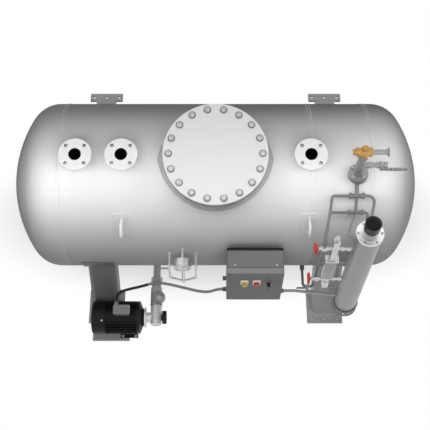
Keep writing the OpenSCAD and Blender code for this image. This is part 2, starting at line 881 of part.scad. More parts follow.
// Closed tube swept along a list of points
module swept_tube(p, d) {
    rings = [for (i = [0 : len(p) - 1])
        let (t = tangent(p, i), s = unit(cross(t, [0, 0, 1])), u = cross(s, t))
        for (k = [0 : cable_sides - 1])
            p[i] + d / 2 * (cos(360 * k / cable_sides) * s + sin(360 * k / cable_sides) * u)];
    n = cable_sides;
    sides = [for (i = [0 : len(p) - 2], k = [0 : n - 1])
        [i * n + k, i * n + (k + 1) % n, (i + 1) * n + (k + 1) % n, (i + 1) * n + k]];
    first = [for (k = [n - 1 : -1 : 0]) k];
    last = [for (k = [0 : n - 1]) (len(p) - 1) * n + k];
    polyhedron(points = rings, faces = concat([first], sides, [last]));
}

module motor_cable() {
    color("black") at_axis() swept_tube(cable_route, cable_d);
}

bottle_r = bottle_od / 2;
bottle_low = bottle_top - bottle_len;
skirt_clear = 8;
// Reach of the leg's front plate at the skirt's underside
leg_front_reach = foot_reach - foot_set_back - (bottle_low - skirt_h - floor_z) * tan(leg_slope);
bottle_y = -max(vessel_r + bottle_gap + bottle_r, leg_front_reach + skirt_clear + skirt_od / 2);

conduit_knee = 70;
conduit_bend = 40;
coupler_over = 5;
coupler_half = 16;

// Rigid conduit from the control box to the foot of the level bottle
module level_conduit() {
    start = [box_right + gland_len + seat, conduit_y, conduit_z];
    knee = start + [conduit_knee, 0, 0];
    finish = [bottle_x - bottle_r / 2, conduit_y, conduit_z - conduit_fall];
    color("darkgray") at_axis() difference() {
        union() {
            pipe([start, knee, finish], cable_d / 2, conduit_bend);
            translate(knee + 0.42 * (finish - knee))
                x_cyl(cable_d / 2 + coupler_over, -coupler_half, coupler_half);
        }
        level_bottle_place() z_cyl(bottle_r + seat, bottle_low, bottle_top);
    }
}

// Float bottle
module level_bottle() {
    color("gray") at_axis() level_bottle_place() z_cyl(bottle_r, bottle_low, bottle_top);
}

clamp_h = 34;
clamp_t = 6;
clamp_block_w = 80;

// Place on the front right leg's sloping front plate, with local z up the slope
module on_right_leg() {
    translate([leg_x, foot_set_back - foot_reach, floor_z]) rotate([-leg_slope, 0, 0]) children();
}

// Flat bar across the front right leg, with a block cut to the skirt's round
module bottle_clamp() {
    low = bottle_low - skirt_h;
    reach = bottle_x - leg_x + clamp_block_w / 2;
    color("darkgray") at_axis() {
        on_right_leg() translate([-leg_front_w / 2, -clamp_t - seat, (low - floor_z) / cos(leg_slope)])
            cube([leg_front_w / 2 + reach, clamp_t, clamp_h]);
        difference() {
            translate([bottle_x - clamp_block_w / 2 + eps, bottle_y, low + eps])
                cube([clamp_block_w - 2 * eps, vessel_r / 2, clamp_h - 4 * eps]);
            translate([bottle_x, bottle_y, low - clamp_h])
                cylinder(r = skirt_od / 2 + seat, h = 3 * clamp_h);
            on_right_leg() translate([-axis_h, -clamp_t / 2, -axis_h])
                cube([2 * axis_h, axis_h, 3 * axis_h]);
        }
    }
}

bottle_flange_t = 14;
bottle_boss_t = 3;
bottle_boss_d = 108;

// Flange with a raised boss
module bottle_flange() {
    color("gainsboro") at_axis() translate([bottle_x, bottle_y, bottle_top]) {
        cylinder(d = bottle_flange_od, h = bottle_flange_t - bottle_boss_t);
        cylinder(d = bottle_boss_d, h = bottle_flange_t);
    }
}

sensor_h = 84;
sensor_neck_d = 54;
sensor_neck_h = 52;

// Domed cap of the level sensor on its neck
module sensor_head() {
    dome_r = sensor_od / 2;
    color("black") at_axis() translate([bottle_x, bottle_y, bottle_top + bottle_flange_t]) {
        cylinder(d = sensor_neck_d, h = sensor_neck_h + eps);
        translate([0, 0, sensor_neck_h]) rotate_extrude() {
            square([dome_r, sensor_h - dome_r / 2]);
            intersection() {
                translate([0, sensor_h - dome_r / 2]) square([dome_r, dome_r]);
                translate([0, sensor_h - 1.25 * dome_r]) circle(r = 1.25 * dome_r);
            }
        }
    }
}

slot_count = 8;
slot_share = 0.62;
skirt_wall = 7;
skirt_top_t = 8;
slot_low = 16;
slot_high = 18;

// Slotted ring under the level bottle
module bottle_skirt() {
    slot_w = slot_share * PI * skirt_od / slot_count;
    color("dimgray") at_axis() translate([bottle_x, bottle_y, bottle_low - skirt_h]) difference() {
        cylinder(d = skirt_od, h = skirt_h);
        translate([0, 0, -eps]) cylinder(r = skirt_od / 2 - skirt_wall, h = skirt_h - skirt_top_t + eps);
        for (i = [0 : slot_count / 2 - 1]) rotate([0, 0, (i + 0.5) * 360 / slot_count])
            translate([-skirt_od, -slot_w / 2, slot_low])
                cube([2 * skirt_od, slot_w, skirt_h - slot_low - slot_high]);
    }
}

gauge_y = bottle_y;
valve_body_d = 18;
valve_tail_x = bottle_x - bottle_r;
wheel_x = gauge_x - 104;
bonnet_end = wheel_x + wheel_t / 2 + 8;
gauge_block_w = 34;
cock_nut_af = 24;
cock_nut_len = 16;
tee_half = 14;
gauge_block_d = 34;
block_rise = 102;
cap_rise = 139;
lower_drop = 106;
guard_w = 66;
guard_wall = 4;
guard_depth = 36;
guard_cap_w = 76;
guard_cap_t = 14;
guard_high = gauge_upper_z - 134;
guard_low = gauge_lower_z + 18;
guard_foot_t = 10;
glass_d = 20;
wheel_bore_d = 8;
wheel_bore_len = 18;
wheel_hub_d = 22;
wheel_rim_w = 9;
wheel_web_t = 6;
wheel_edge = 3;
ball_nut_d = 38;
cap_d = 22;

// Cocks, blocks and unions that carry the sight glass
module gauge_fittings() {
    color("silver") at_axis() translate([0, gauge_y, 0]) {
        for (z = [gauge_lower_z, gauge_upper_z]) translate([0, 0, z]) difference() {
            union() {
                x_cyl(valve_body_d / 2, bonnet_end, valve_tail_x + 4);
                x_hex(tee_af, gauge_tee_x - tee_half, gauge_tee_x + tee_half);
                x_hex(cock_nut_af, gauge_x + gauge_block_w, gauge_x + gauge_block_w + cock_nut_len);
                x_hex(cock_nut_af, valve_tail_x - 1.5 * cock_nut_len, valve_tail_x - 0.5 * cock_nut_len);
            }
            x_cyl(wheel_bore_d / 2 + run, bonnet_end - eps, bonnet_end + wheel_bore_len + 1);
            translate([bottle_x, 0, 0]) z_cyl(bottle_r + seat, -bottle_r, bottle_r);
        }
        translate([gauge_x, 0, 0]) {
            slab(
                gauge_block_w,
                -gauge_block_d / 2,
                gauge_block_d / 2,
                guard_high - eps,
                gauge_upper_z + block_rise
            );
            z_cyl(cap_d / 2, gauge_upper_z, gauge_upper_z + cap_rise);
            slab(guard_cap_w, -guard_depth / 2 - guard_wall, guard_depth / 2 + guard_wall,
                guard_high - guard_cap_t, guard_high);
            slab(guard_w, -guard_depth / 2, guard_depth / 2, guard_low, guard_low + guard_foot_t);
            translate([0, -gauge_block_d / 2, gauge_lower_z - ball_nut_d / 4]) sphere(d = ball_nut_d);
            slab(
                gauge_block_w,
                -gauge_block_d / 2,
                gauge_block_d / 2,
                gauge_lower_z - lower_drop,
                guard_low + eps
            );
        }
    }
}

// Glass tube between the two cocks, inside a clear guard that is open at the back
module sight_glass() {
    low = guard_low + guard_foot_t + seat;
    high = guard_high - guard_cap_t - seat;
    color("lightcyan") at_axis() translate([gauge_x, gauge_y, 0]) {
        z_cyl(glass_d / 2, low, high);
        difference() {
            slab(guard_w, -guard_depth / 2, guard_depth / 2, low, high);
            slab(guard_w - 2 * guard_wall, guard_wall - guard_depth / 2, guard_depth, low - eps, high + eps);
        }
    }
}

// Handwheel with a thin web and its spindle, turning about x
module handwheel(z) {
    r = wheel_od / 2;
    rim = r - wheel_rim_w;
    hub = wheel_hub_d / 2;
    out = wheel_t / 2;
    web = wheel_web_t / 2;
    color("firebrick") at_axis() translate([wheel_x, gauge_y, z]) {
        rotate([0, 90, 0]) rotate_extrude() polygon([
            [0, -out], [hub, -out], [hub, -web], [rim, -web], [rim, -out], [r - wheel_edge, -out],
            [r, wheel_edge - out], [r, out - wheel_edge], [r - wheel_edge, out], [rim, out],
            [rim, web], [hub, web], [hub, out], [0, out]
        ]);
        x_cyl(wheel_bore_d, 0, bonnet_end - seat - wheel_x);
        x_cyl(wheel_bore_d / 2, 0, bonnet_end + wheel_bore_len - wheel_x);
    }
}

module upper_handwheel() { handwheel(gauge_upper_z); }
module lower_handwheel() { handwheel(gauge_lower_z); }

stack_face = vessel_r + stack_stand;
stack_flange_t = 30;
stack_groove = 2;
stack_gasket_in = 22;

// Upright nozzle with a bolted pair of flanges
module stack_nozzle() {
    color("darkgray") at_axis() translate([stack_x, -stack_y, 0]) difference() {
        union() {
            z_cyl(stack_pipe_od / 2, 0, stack_face);
            z_cyl(
                stack_flange_od / 2,
                stack_face - stack_flange_t,
                stack_face - stack_flange_t / 2 - stack_groove / 2
            );
            z_cyl(stack_flange_od / 2, stack_face - stack_flange_t / 2 + stack_groove / 2, stack_face);
            z_cyl(stack_flange_od / 2 - stack_gasket_in, stack_face - stack_flange_t, stack_face);
        }
        translate([-stack_x, stack_y, 0]) x_cyl(inner_r, -shell_half, shell_half);
    }
}

column_d = 40;
collar_d = 50;
collar_h = 16;
tee_collar_h = 52;
top_collar_h = 22;
branch_d = 28;
branch_nut_over = 4;
branch_nut = [34, 54];
relief_neck = 44;
valve_x = stack_x + 112;
valve_nut_out = 24;
relief_z = stack_face + relief_rise;

// Column on the stack flange with its side branch
module stack_column() {
    branch_z = stack_face + branch_rise;
    color("silver") at_axis() {
        translate([stack_x, -stack_y, 0]) {
            z_cyl(column_d / 2, stack_face, relief_z - relief_neck);
            z_cyl(collar_d / 2, stack_face, stack_face + collar_h);
            z_cyl(collar_d / 2, branch_z - tee_collar_h / 2, branch_z + tee_collar_h / 2);
            translate([0, 0, relief_z - relief_neck - collar_h / 2]) z_cyl(collar_d / 2, -top_collar_h, 0);
        }
        translate([0, -stack_y, branch_z]) {
            x_cyl(branch_d / 2, stack_x, valve_x - valve_nut_out);
            x_cyl(branch_d / 2 + branch_nut_over, stack_x + branch_nut[0], stack_x + branch_nut[1]);
        }
    }
}

relief_d = 62;
relief_neck_d = 36;
relief_body = [-44, 30];
relief_cap_x = -62;
relief_bonnet_d = 34;
relief_bonnet_h = 14;
outlet_nut_af = 46;
outlet_nut = [26, 42];
outlet_d = 28;
outlet_end = 118;
outlet_flare_d = 54;
outlet_flare_len = 12;

// Brass safety valve with its bonnet, and the outlet pipe with a flared end
module safety_valve() {
    color("goldenrod") at_axis() translate([stack_x, -stack_y, relief_z]) {
        z_cyl(relief_neck_d / 2, -relief_neck, 0);
        x_cyl(0.4 * relief_d, relief_body[0], relief_body[1]);
        x_cyl(relief_bonnet_d / 2, relief_cap_x, 0);
        sphere(d = relief_d);
        z_cyl(relief_bonnet_d / 2, 0, relief_d / 2 + relief_bonnet_h);
        x_hex(outlet_nut_af, outlet_nut[0], outlet_nut[1]);
        x_cyl(outlet_d / 2, outlet_nut[0], outlet_end);
        translate([outlet_end, 0, 0]) rotate([0, 90, 0])
            cylinder(d1 = outlet_d, d2 = outlet_flare_d, h = outlet_flare_len);
    }
}

lever_len = 130;
lever_t = 5;
lever_w = 20;
lever_d = 8;
lever_eye_over = 4;
stem_rise = 24;
valve_ball_d = 42;
valve_nut_af = 32;
valve_nut_in = 15;
valve_end = 34;
valve_bore_in = 14;
valve_bore_d = 16;
stem_bore_len = 14;
stem_end_gap = 1;

// Ball valve on the branch, with its stem toward the front
module ball_valve() {
    color("darkgray") at_axis() translate([valve_x, -stack_y, stack_face + branch_rise]) difference() {
        union() {
            rotate([0, 90, 0]) sphere(d = valve_ball_d);
            x_hex(valve_nut_af, -valve_nut_out, -valve_nut_in);
            x_hex(valve_nut_af, valve_nut_in, valve_end);
            y_cyl(lever_w / 2, -stem_rise, 0);
        }
        y_cyl(lever_d / 2 + run, -stem_rise - eps, stem_bore_len + stem_end_gap - stem_rise);
        x_cyl(valve_bore_d / 2, valve_bore_in, valve_end + eps);
    }
}

// Flat lever with an eye, on the valve's stem
module valve_lever() {
    color("silver") at_axis() translate([valve_x, -stack_y - stem_rise - seat, stack_face + branch_rise])
        rotate([90, 0, 0]) {
            difference() {
                union() {
                    cylinder(d = lever_w + lever_eye_over, h = lever_t);
                    translate([0, -lever_w / 2, 0]) cube([lever_len, lever_w, lever_t]);
                    translate([lever_len, 0, 0]) cylinder(d = lever_w + lever_eye_over, h = lever_t);
                }
                translate([lever_len, 0, -eps]) cylinder(d = lever_d, h = lever_t + 2 * eps);
            }
            translate([0, 0, -stem_bore_len]) cylinder(d = lever_d, h = stem_bore_len + eps);
        }
}

header_d = 24;
cross_2_d = 20;
cross_out = 50;
cross_half = 44;
cross_nut_over = 6;
cross_nut_len = 16;
header_step = 3;
// Places of the two crosses: turn from the top and distance from the vessel's axis
cross_1 = [stack_x - 4, -(vessel_r + cross_out) * sin(35), (vessel_r + cross_out) * cos(35)];
cross_2 = [stack_x - 8, -(vessel_r + cross_out) * sin(45), (vessel_r + cross_out) * cos(45)];
gauge_tee_x = gauge_x - 58;
tube_r = level_pipe_d / 2;
tube_bend = 50;
thin_tube_r = 4;
tee_af = 27;
tee_reach = tee_af / 2 / cos(30);
drop_y = gauge_y + 36;
drain_z = -200;
drain_socket_over = 6;
drain_socket_out = 12;
drain_back_x = gauge_tee_x - 59;
header_z = stack_face - stack_flange_t - header_d / 2 - 12;

// Cross fitting with a nut at either end
module cross_fitting(p, d) {
    translate(p) {
        x_cyl(d / 2, -cross_half, cross_half);
        x_hex(d + cross_nut_over, -cross_half, -cross_half + cross_nut_len);
        x_hex(d + cross_nut_over, cross_half - cross_nut_len, cross_half);
    }
}

// Header from the stack's neck down the front of the shell, with two crosses
module header_pipe() {
    color("silver") at_axis() difference() {
        union() {
            rod([stack_x, -stack_y, header_z], cross_1, header_d / 2);
            rod(cross_1, cross_2, header_d / 2 - header_step);
            cross_fitting(cross_1, header_d);
            cross_fitting(cross_2, cross_2_d);
        }
        translate([stack_x, -stack_y, 0]) z_cyl(stack_pipe_od / 2 + seat, 0, vessel_od);
    }
}

// Tubes from the crosses to the gauge cocks, and the drop tube that runs back to the shell
module gauge_tubes() {
    color("silver") at_axis() {
        pipe([
            cross_1 - [cross_half + seat, 0, 0], [gauge_tee_x + 61, cross_1.y, cross_1.z],
            [gauge_tee_x, gauge_y, cross_1.z + 45], [gauge_tee_x, gauge_y, gauge_upper_z + tee_reach + seat]
        ], tube_r, 0.4 * tube_bend);
        pipe([
            cross_2 - [cross_half + seat, 0, 0], [gauge_tee_x + 54, cross_2.y, cross_2.z],
            [gauge_tee_x, drop_y, cross_2.z], [gauge_tee_x, drop_y, drain_z],
            [drain_back_x, drop_y, drain_z], [drain_back_x, -vessel_r + 22, drain_z]
        ], tube_r, 0.4 * tube_bend);
        translate([gauge_tee_x, 0, gauge_lower_z]) y_cyl(tube_r - 2, gauge_y + tee_af / 2 + seat, drop_y);
        difference() {
            translate([drain_back_x, 0, drain_z])
                y_cyl(tube_r + drain_socket_over, -vessel_r + drain_socket_out, -vessel_r / 2);
            x_cyl(vessel_r + seat, -shell_half, shell_half);
        }
    }
}

cock_d = 24;
cock_low = 34;
cock_hex_af = 28;
cock_hex_half = 4;
key_len = 66;
key_w = 12;
key_t = 5;
key_drop = 30;
cock_reach = 20;

// Drain cock on the drop tube's lower run, with a flat key
module drain_cock() {
    color("dimgray") at_axis() translate([(gauge_tee_x + drain_back_x) / 2, drop_y, drain_z]) difference() {
        union() {
            z_cyl(cock_d / 2, -cock_low, cock_d / 2);
            x_hex(cock_hex_af, -cock_hex_half, cock_hex_half);
            translate([-key_len, -key_w / 2, -key_drop]) cube([key_len, key_w, key_t]);
        }
        x_cyl(tube_r + 2 * seat, -cock_reach, cock_reach);
    }
}

// Tubes from the crosses into the back of the level bottle
module bottle_tubes() {
    color("silver") at_axis() difference() {
        union() {
            pipe([
                cross_1 + [cross_half + seat, 0, 0], [bottle_x + 83, cross_1.y, cross_1.z],
                [bottle_x + 20, bottle_y + bottle_r / 2, cross_1.z]
            ], tube_r, 0.7 * tube_bend);
            pipe([
                cross_2 + [cross_half + seat, 0, 0], [bottle_x + 46, cross_2.y, cross_2.z],
                [bottle_x + 5, bottle_y + bottle_r / 2, cross_2.z]
            ], tube_r, 0.4 * tube_bend);
            pipe([
                cross_2, [bottle_x - 76, cross_2.y - 132, cross_2.z],
                [bottle_x - 20, bottle_y + bottle_r / 2, cross_2.z]
            ], thin_tube_r, 14);
        }
        level_bottle_place() z_cyl(bottle_r + seat, bottle_low, bottle_top);
        translate(cross_2) x_cyl(cross_2_d / 2 + seat, -cross_half, cross_half);
    }
}

dial_back = -vessel_r - 60;
dial_rim = 6;
dial_recess = 5;
dial_stem_d = 20;
dial_nut_af = 34;
dial_nut_len = 12;

// Round pressure gauge on a stem from the shell
module pressure_gauge() {
    back = dial_back;
    color("gainsboro") at_axis() translate([dial_x, 0, dial_rise]) difference() {
        union() {
            y_cyl(dial_od / 2, back - dial_depth, back);
            y_cyl(dial_stem_d / 2, back - eps, -vessel_r / 2);
            translate([0, back + dial_nut_len, 0]) rotate([90, 0, 0])
                cylinder(d = dial_nut_af, h = dial_nut_len + eps, $fn = 6);
        }
        translate([0, 0, -dial_rise]) x_cyl(vessel_r + seat, -shell_half, shell_half);
        y_cyl(dial_od / 2 - dial_rim, back - dial_depth - eps, back - dial_depth + dial_recess);
    }
}

loop_d = 14;
loop_low = -101;
loop_drop = 39;
loop_vee = 52;
loop_bend = 18;
loop_socket_over = 5;
loop_socket_out = 30;
loop_ball_d = 24;
loop_stem_over = 2;

// Bent tube from two sockets on the shell to the gauge's lower connection
module pressure_loop() {
    y = dial_back - dial_depth / 2;
    socket_z = dial_rise - loop_drop;
    color("silver") at_axis() difference() {
        union() {
            for (s = [-1, 1]) {
                x = dial_x + s * loop_pitch / 2;
                pipe([[x, -vessel_r / 2, socket_z], [x, y, socket_z], [x, y, loop_low],
                    [dial_x, y, loop_low - loop_vee]], loop_d / 2, loop_bend);
                translate([x, 0, socket_z])
                    y_cyl(loop_d / 2 + loop_socket_over, -vessel_r - loop_socket_out, -vessel_r / 2);
            }
            translate([dial_x, y, loop_low - loop_vee]) sphere(d = loop_ball_d);
            translate([dial_x, y, 0])
                z_cyl(loop_d / 2 + loop_stem_over, loop_low - loop_vee, dial_rise - dial_od / 2 - seat);
        }
        x_cyl(vessel_r + seat, -shell_half, shell_half);
    }
}

shell();
left_head();
right_head();
manhole_neck();
manhole_cover();
left_nozzle();
middle_nozzle();
right_nozzle();
front_left_leg();
front_right_leg();
rear_left_leg();
rear_right_leg();
rear_left_bracket();
rear_right_bracket();
left_lifting_eye();
right_lifting_eye();
pump_base();
motor();
fan_cover();
terminal_box();
pump();
strainer();
suction_line();
control_box();
control_cover();
signal_lamp();
stop_button();
selector_switch();
motor_cable();
level_conduit();
level_bottle();
bottle_flange();
sensor_head();
bottle_skirt();
bottle_clamp();
gauge_fittings();
sight_glass();
upper_handwheel();
lower_handwheel();
stack_nozzle();
stack_column();
safety_valve();
ball_valve();
valve_lever();
header_pipe();
gauge_tubes();
drain_cock();
bottle_tubes();
pressure_gauge();
pressure_loop();
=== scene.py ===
import math
import bpy
import mathutils
import numpy as np
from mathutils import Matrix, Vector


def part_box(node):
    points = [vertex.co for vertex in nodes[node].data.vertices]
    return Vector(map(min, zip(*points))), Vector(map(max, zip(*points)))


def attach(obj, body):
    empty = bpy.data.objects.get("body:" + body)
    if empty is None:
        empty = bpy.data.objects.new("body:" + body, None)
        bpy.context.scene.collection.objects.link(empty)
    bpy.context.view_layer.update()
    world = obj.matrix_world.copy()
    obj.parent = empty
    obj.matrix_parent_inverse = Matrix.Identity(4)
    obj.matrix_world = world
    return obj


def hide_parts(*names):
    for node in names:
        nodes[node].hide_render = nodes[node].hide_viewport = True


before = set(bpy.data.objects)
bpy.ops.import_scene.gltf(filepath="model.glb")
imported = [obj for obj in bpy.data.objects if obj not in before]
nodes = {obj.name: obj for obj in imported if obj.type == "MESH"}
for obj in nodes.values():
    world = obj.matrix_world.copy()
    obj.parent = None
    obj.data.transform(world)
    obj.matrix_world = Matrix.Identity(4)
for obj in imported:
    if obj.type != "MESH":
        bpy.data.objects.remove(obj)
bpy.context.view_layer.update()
shellLow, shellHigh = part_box("shell")
axisY = (shellLow.y + shellHigh.y) / 2
axisZ = (shellLow.z + shellHigh.z) / 2
vesselR = (shellHigh.y - shellLow.y) / 2
vesselAxis = np.array([0, axisY, axisZ])
millimetre = 0.001
print("frame loaded, vessel radius", round(vesselR, 3))

# camera: stands in front of the vessel and far above it, looking down at its axis
cameraSet = {"back": 2.597, "up": 4.761, "slope": 63.5, "lens": 72.84, "shiftX": -0.0012, "shiftY": 0.0046}


def makeCamera(s):
    camera = bpy.data.objects.new("camera", bpy.data.cameras.new("camera"))
    bpy.context.scene.collection.objects.link(camera)
    camera.location = (0, axisY - s["back"], axisZ + s["up"])
    camera.rotation_euler = (math.radians(90 - s["slope"]), 0, 0)
    camera.data.lens = s["lens"]
    camera.data.shift_x = s["shiftX"]
    camera.data.shift_y = s["shiftY"]
    bpy.context.scene.camera = camera


makeCamera(cameraSet)
print("camera placed")


# shader sockets as values: an operator between sockets or numbers adds one Math node
class Value:
    def __init__(self, tree, socket):
        self.tree = tree
        self.socket = socket

    def calc(self, operation, first, second):
        node = self.tree.nodes.new("ShaderNodeMath")
        node.operation = operation
        for place, item in zip(node.inputs, (first, second)):
            feed(self.tree, place, item)
        return Value(self.tree, node.outputs[0])

    def __add__(self, other):
        return self.calc("ADD", self, other)

    def __radd__(self, other):
        return self.calc("ADD", other, self)

    def __sub__(self, other):
        return self.calc("SUBTRACT", self, other)

    def __rsub__(self, other):
        return self.calc("SUBTRACT", other, self)

    def __mul__(self, other):
        return self.calc("MULTIPLY", self, other)

    def __rmul__(self, other):
        return self.calc("MULTIPLY", other, self)

    def __gt__(self, other):
        return self.calc("GREATER_THAN", self, other)

    def __lt__(self, other):
        return self.calc("LESS_THAN", self, other)


def feed(tree, place, item):
    if isinstance(item, Value):
        tree.links.new(item.socket, place)
    else:
        place.default_value = item


# one material under construction; node() adds any node from its type, settings and inputs
class Paint:
    def __init__(self, name):
        self.material = bpy.data.materials.new(name)
        self.material.use_nodes = True
        self.tree = self.material.node_tree
        self.shader = self.tree.nodes["Principled BSDF"]

    def node(self, kind, settings, inputs, out=0):
        node = self.tree.nodes.new(kind)
        for key, item in settings.items():
            setattr(node, key, item)
        for key, item in inputs.items():
            feed(self.tree, node.inputs[key], item)
        return Value(self.tree, node.outputs[out])

    def axes(self):
        where = self.node("ShaderNodeTexCoord", {}, {}, "Object")
        return [self.node("ShaderNodeSeparateXYZ", {}, {0: where}, k) for k in range(3)]

    def noise(self, scale, detail, stretch):
        where = self.node("ShaderNodeTexCoord", {}, {}, "Object")
        place = self.node("ShaderNodeMapping", {}, {"Vector": where, "Scale": stretch})
        return self.node("ShaderNodeTexNoise", {}, {"Vector": place, "Scale": scale, "Detail": detail})

    def mix(self, factor, first, second):
        inputs = {"Factor": factor, 6: first, 7: second}
        return self.node("ShaderNodeMix", {"data_type": "RGBA"}, inputs, 2)

    def absolute(self, item):
        return self.node("ShaderNodeMath", {"operation": "ABSOLUTE"}, {0: item})

    def bump(self, height, strength, distance):
        inputs = {"Height": height, "Strength": strength, "Distance": distance}
        return self.node("ShaderNodeBump", {}, inputs)

    def set(self, **inputs):
        for key, item in inputs.items():
            feed(self.tree, self.shader.inputs[key.replace("_", " ")], item)
        return self.material


def shade(color, factor):
    return tuple(min(1.0, c * factor) for c in color) + (1,)


# what the finishes share: the detail of clouds and grain, the grain's depth and the usual gloss
finishSet = {"cloudDetail": 4.0, "grainDetail": 2.0, "grainDepth": 0.001, "index": 1.45, "gloss": 0.5}


# a plain finish with a soft cloudy change of tone and roughness; "inside" gives a part another colour,
# which several finishes use for painted shade or a painted highlight
def cloudyFinish(name, s):
    p = Paint(name)
    stretch = s.get("stretch", (1, 1, 1))
    cloud = p.noise(s["cloud"], finishSet["cloudDetail"], stretch)
    tone = p.mix(cloud, shade(s["color"], 1 - s["vary"]), shade(s["color"], 1 + s["vary"]))
    metal = s["metal"]
    if "inside" in s:
        share = s["inside"](p)
        tone = p.mix(share, tone, shade(s["insideColor"], 1))
        metal = share * (s.get("insideMetal", 0.0) - metal) + metal
    rough = cloud * s["roughVary"] + (s["rough"] - s["roughVary"] / 2)
    if "grain" in s:
        fine = p.noise(s["grain"], finishSet["grainDetail"], stretch)
        p.set(Normal=p.bump(fine, s["bump"], finishSet["grainDepth"]))
    gloss = s.get("gloss", finishSet["gloss"])
    return p.set(Base_Color=tone, Roughness=rough, Metallic=metal, IOR=finishSet["index"],
                 Specular_IOR_Level=gloss)


# where a piece changes from one finish to another, in metres
edges = {
    "shellSkin": 0.0015,  # under the shell's outer face
    "padRise": 0.0085,  # over the shell, past the manhole's plate
    "eyeRise": 0.0095,  # over the shell, past the lifting eyes' plates
    "footTop": 0.016,  # over the floor
    "suctionY": axisY - 0.545,
    # past the box's rear, its top is painted black: a painted shadow where the box stands off the vessel
    "boxRearY": axisY - 0.543,
    # over this the control cover's top face is painted a little lighter: a painted highlight
    "coverTopZ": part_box("control_cover")[1].z - 0.002,
    "sensorZ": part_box("sensor_head")[0].z + 0.050,
    "outletX": 0.838,  # end of the safety valve's brass
    # past the end of the black length the cable is painted grey: a painted highlight
    "cableX": -0.43,  # end of the cable's black length
    "bottleX": 0.813,
    "bottleY": (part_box("level_bottle")[0].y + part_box("level_bottle")[1].y) / 2,
    "skirtInner": 0.0722,
}


# parts of a piece nearer to the vessel's axis than a radius
def nearAxis(p, radius):
    y, z = p.axes()[1:]
    return (y - axisY) * (y - axisY) + (z - axisZ) * (z - axisZ) < radius ** 2


# painted shade inside the shell: under its outer face and between its two ends, with the holes below the
# nozzles; it is painted near black
def vesselShadeMask(p):
    x = p.axes()[0]
    deep = nearAxis(p, vesselR - edges["shellSkin"])
    return deep * (x * x < shellHigh.x ** 2) + nozzleShares(p)[0]


# nozzles: the bore widens at the root; the bolt holes fall together at one corner once the distances to the
# axis lose their sign
nozzleSet = {"places": (-0.784, -0.527, 0.534), "bore": 0.0354, "root": 0.0377, "pipe": 0.038, "lean": 12,
             "face": 0.600, "lip": 0.004, "boltCorner": 0.0513, "boltHole": 0.0106, "boltShade": 0.8}


# bores and bolt holes, which are painted dark as painted shade: nearer to the nozzle's leaning axis, or to
# a bolt's, than a radius
def nozzleShares(p):
    x, y, z = p.axes()
    lean = math.radians(nozzleSet["lean"])
    across = (y - axisY) * math.cos(lean) + (z - axisZ) * math.sin(lean)
    height = (z - axisZ) * math.cos(lean) - (y - axisY) * math.sin(lean)
    widen = nozzleSet["root"] - nozzleSet["bore"]
    reach = (height < nozzleSet["face"] - nozzleSet["lip"]) * widen + nozzleSet["bore"]
    corner = nozzleSet["boltCorner"]
    sideY = p.absolute(across) - corner
    bores = holes = 0
    for place in nozzleSet["places"]:
        sideX = p.absolute(x - place) - corner
        bores = ((x - place) * (x - place) + across * across < reach * reach) + bores
        holes = (sideX * sideX + sideY * sideY < nozzleSet["boltHole"] ** 2) + holes
    return bores, holes


# painted shade: the parts of a seam bead inside the nozzle bores
def boreShadeMask(p):
    return nozzleShares(p)[0]


# painted shade: the bores, and a little less dark round the bolt holes
def nozzleShadeMask(p):
    bores, holes = nozzleShares(p)
    return bores + holes * nozzleSet["boltShade"]


# painted shade inside the bottle's skirt: nearer to its upright axis than its inner wall
def skirtShadeMask(p):
    x, y = p.axes()[:2]
    offX = x - edges["bottleX"]
    offY = y - edges["bottleY"]
    return offX * offX + offY * offY < edges["skirtInner"] ** 2


# parts of a welded piece that lie flat on the shell
def onPlate(rise):
    return lambda p: nearAxis(p, vesselR + rise)


# parts of a piece beyond a plane across one axis
def beyond(axis, place):
    return lambda p: p.axes()["xyz".index(axis)] > place


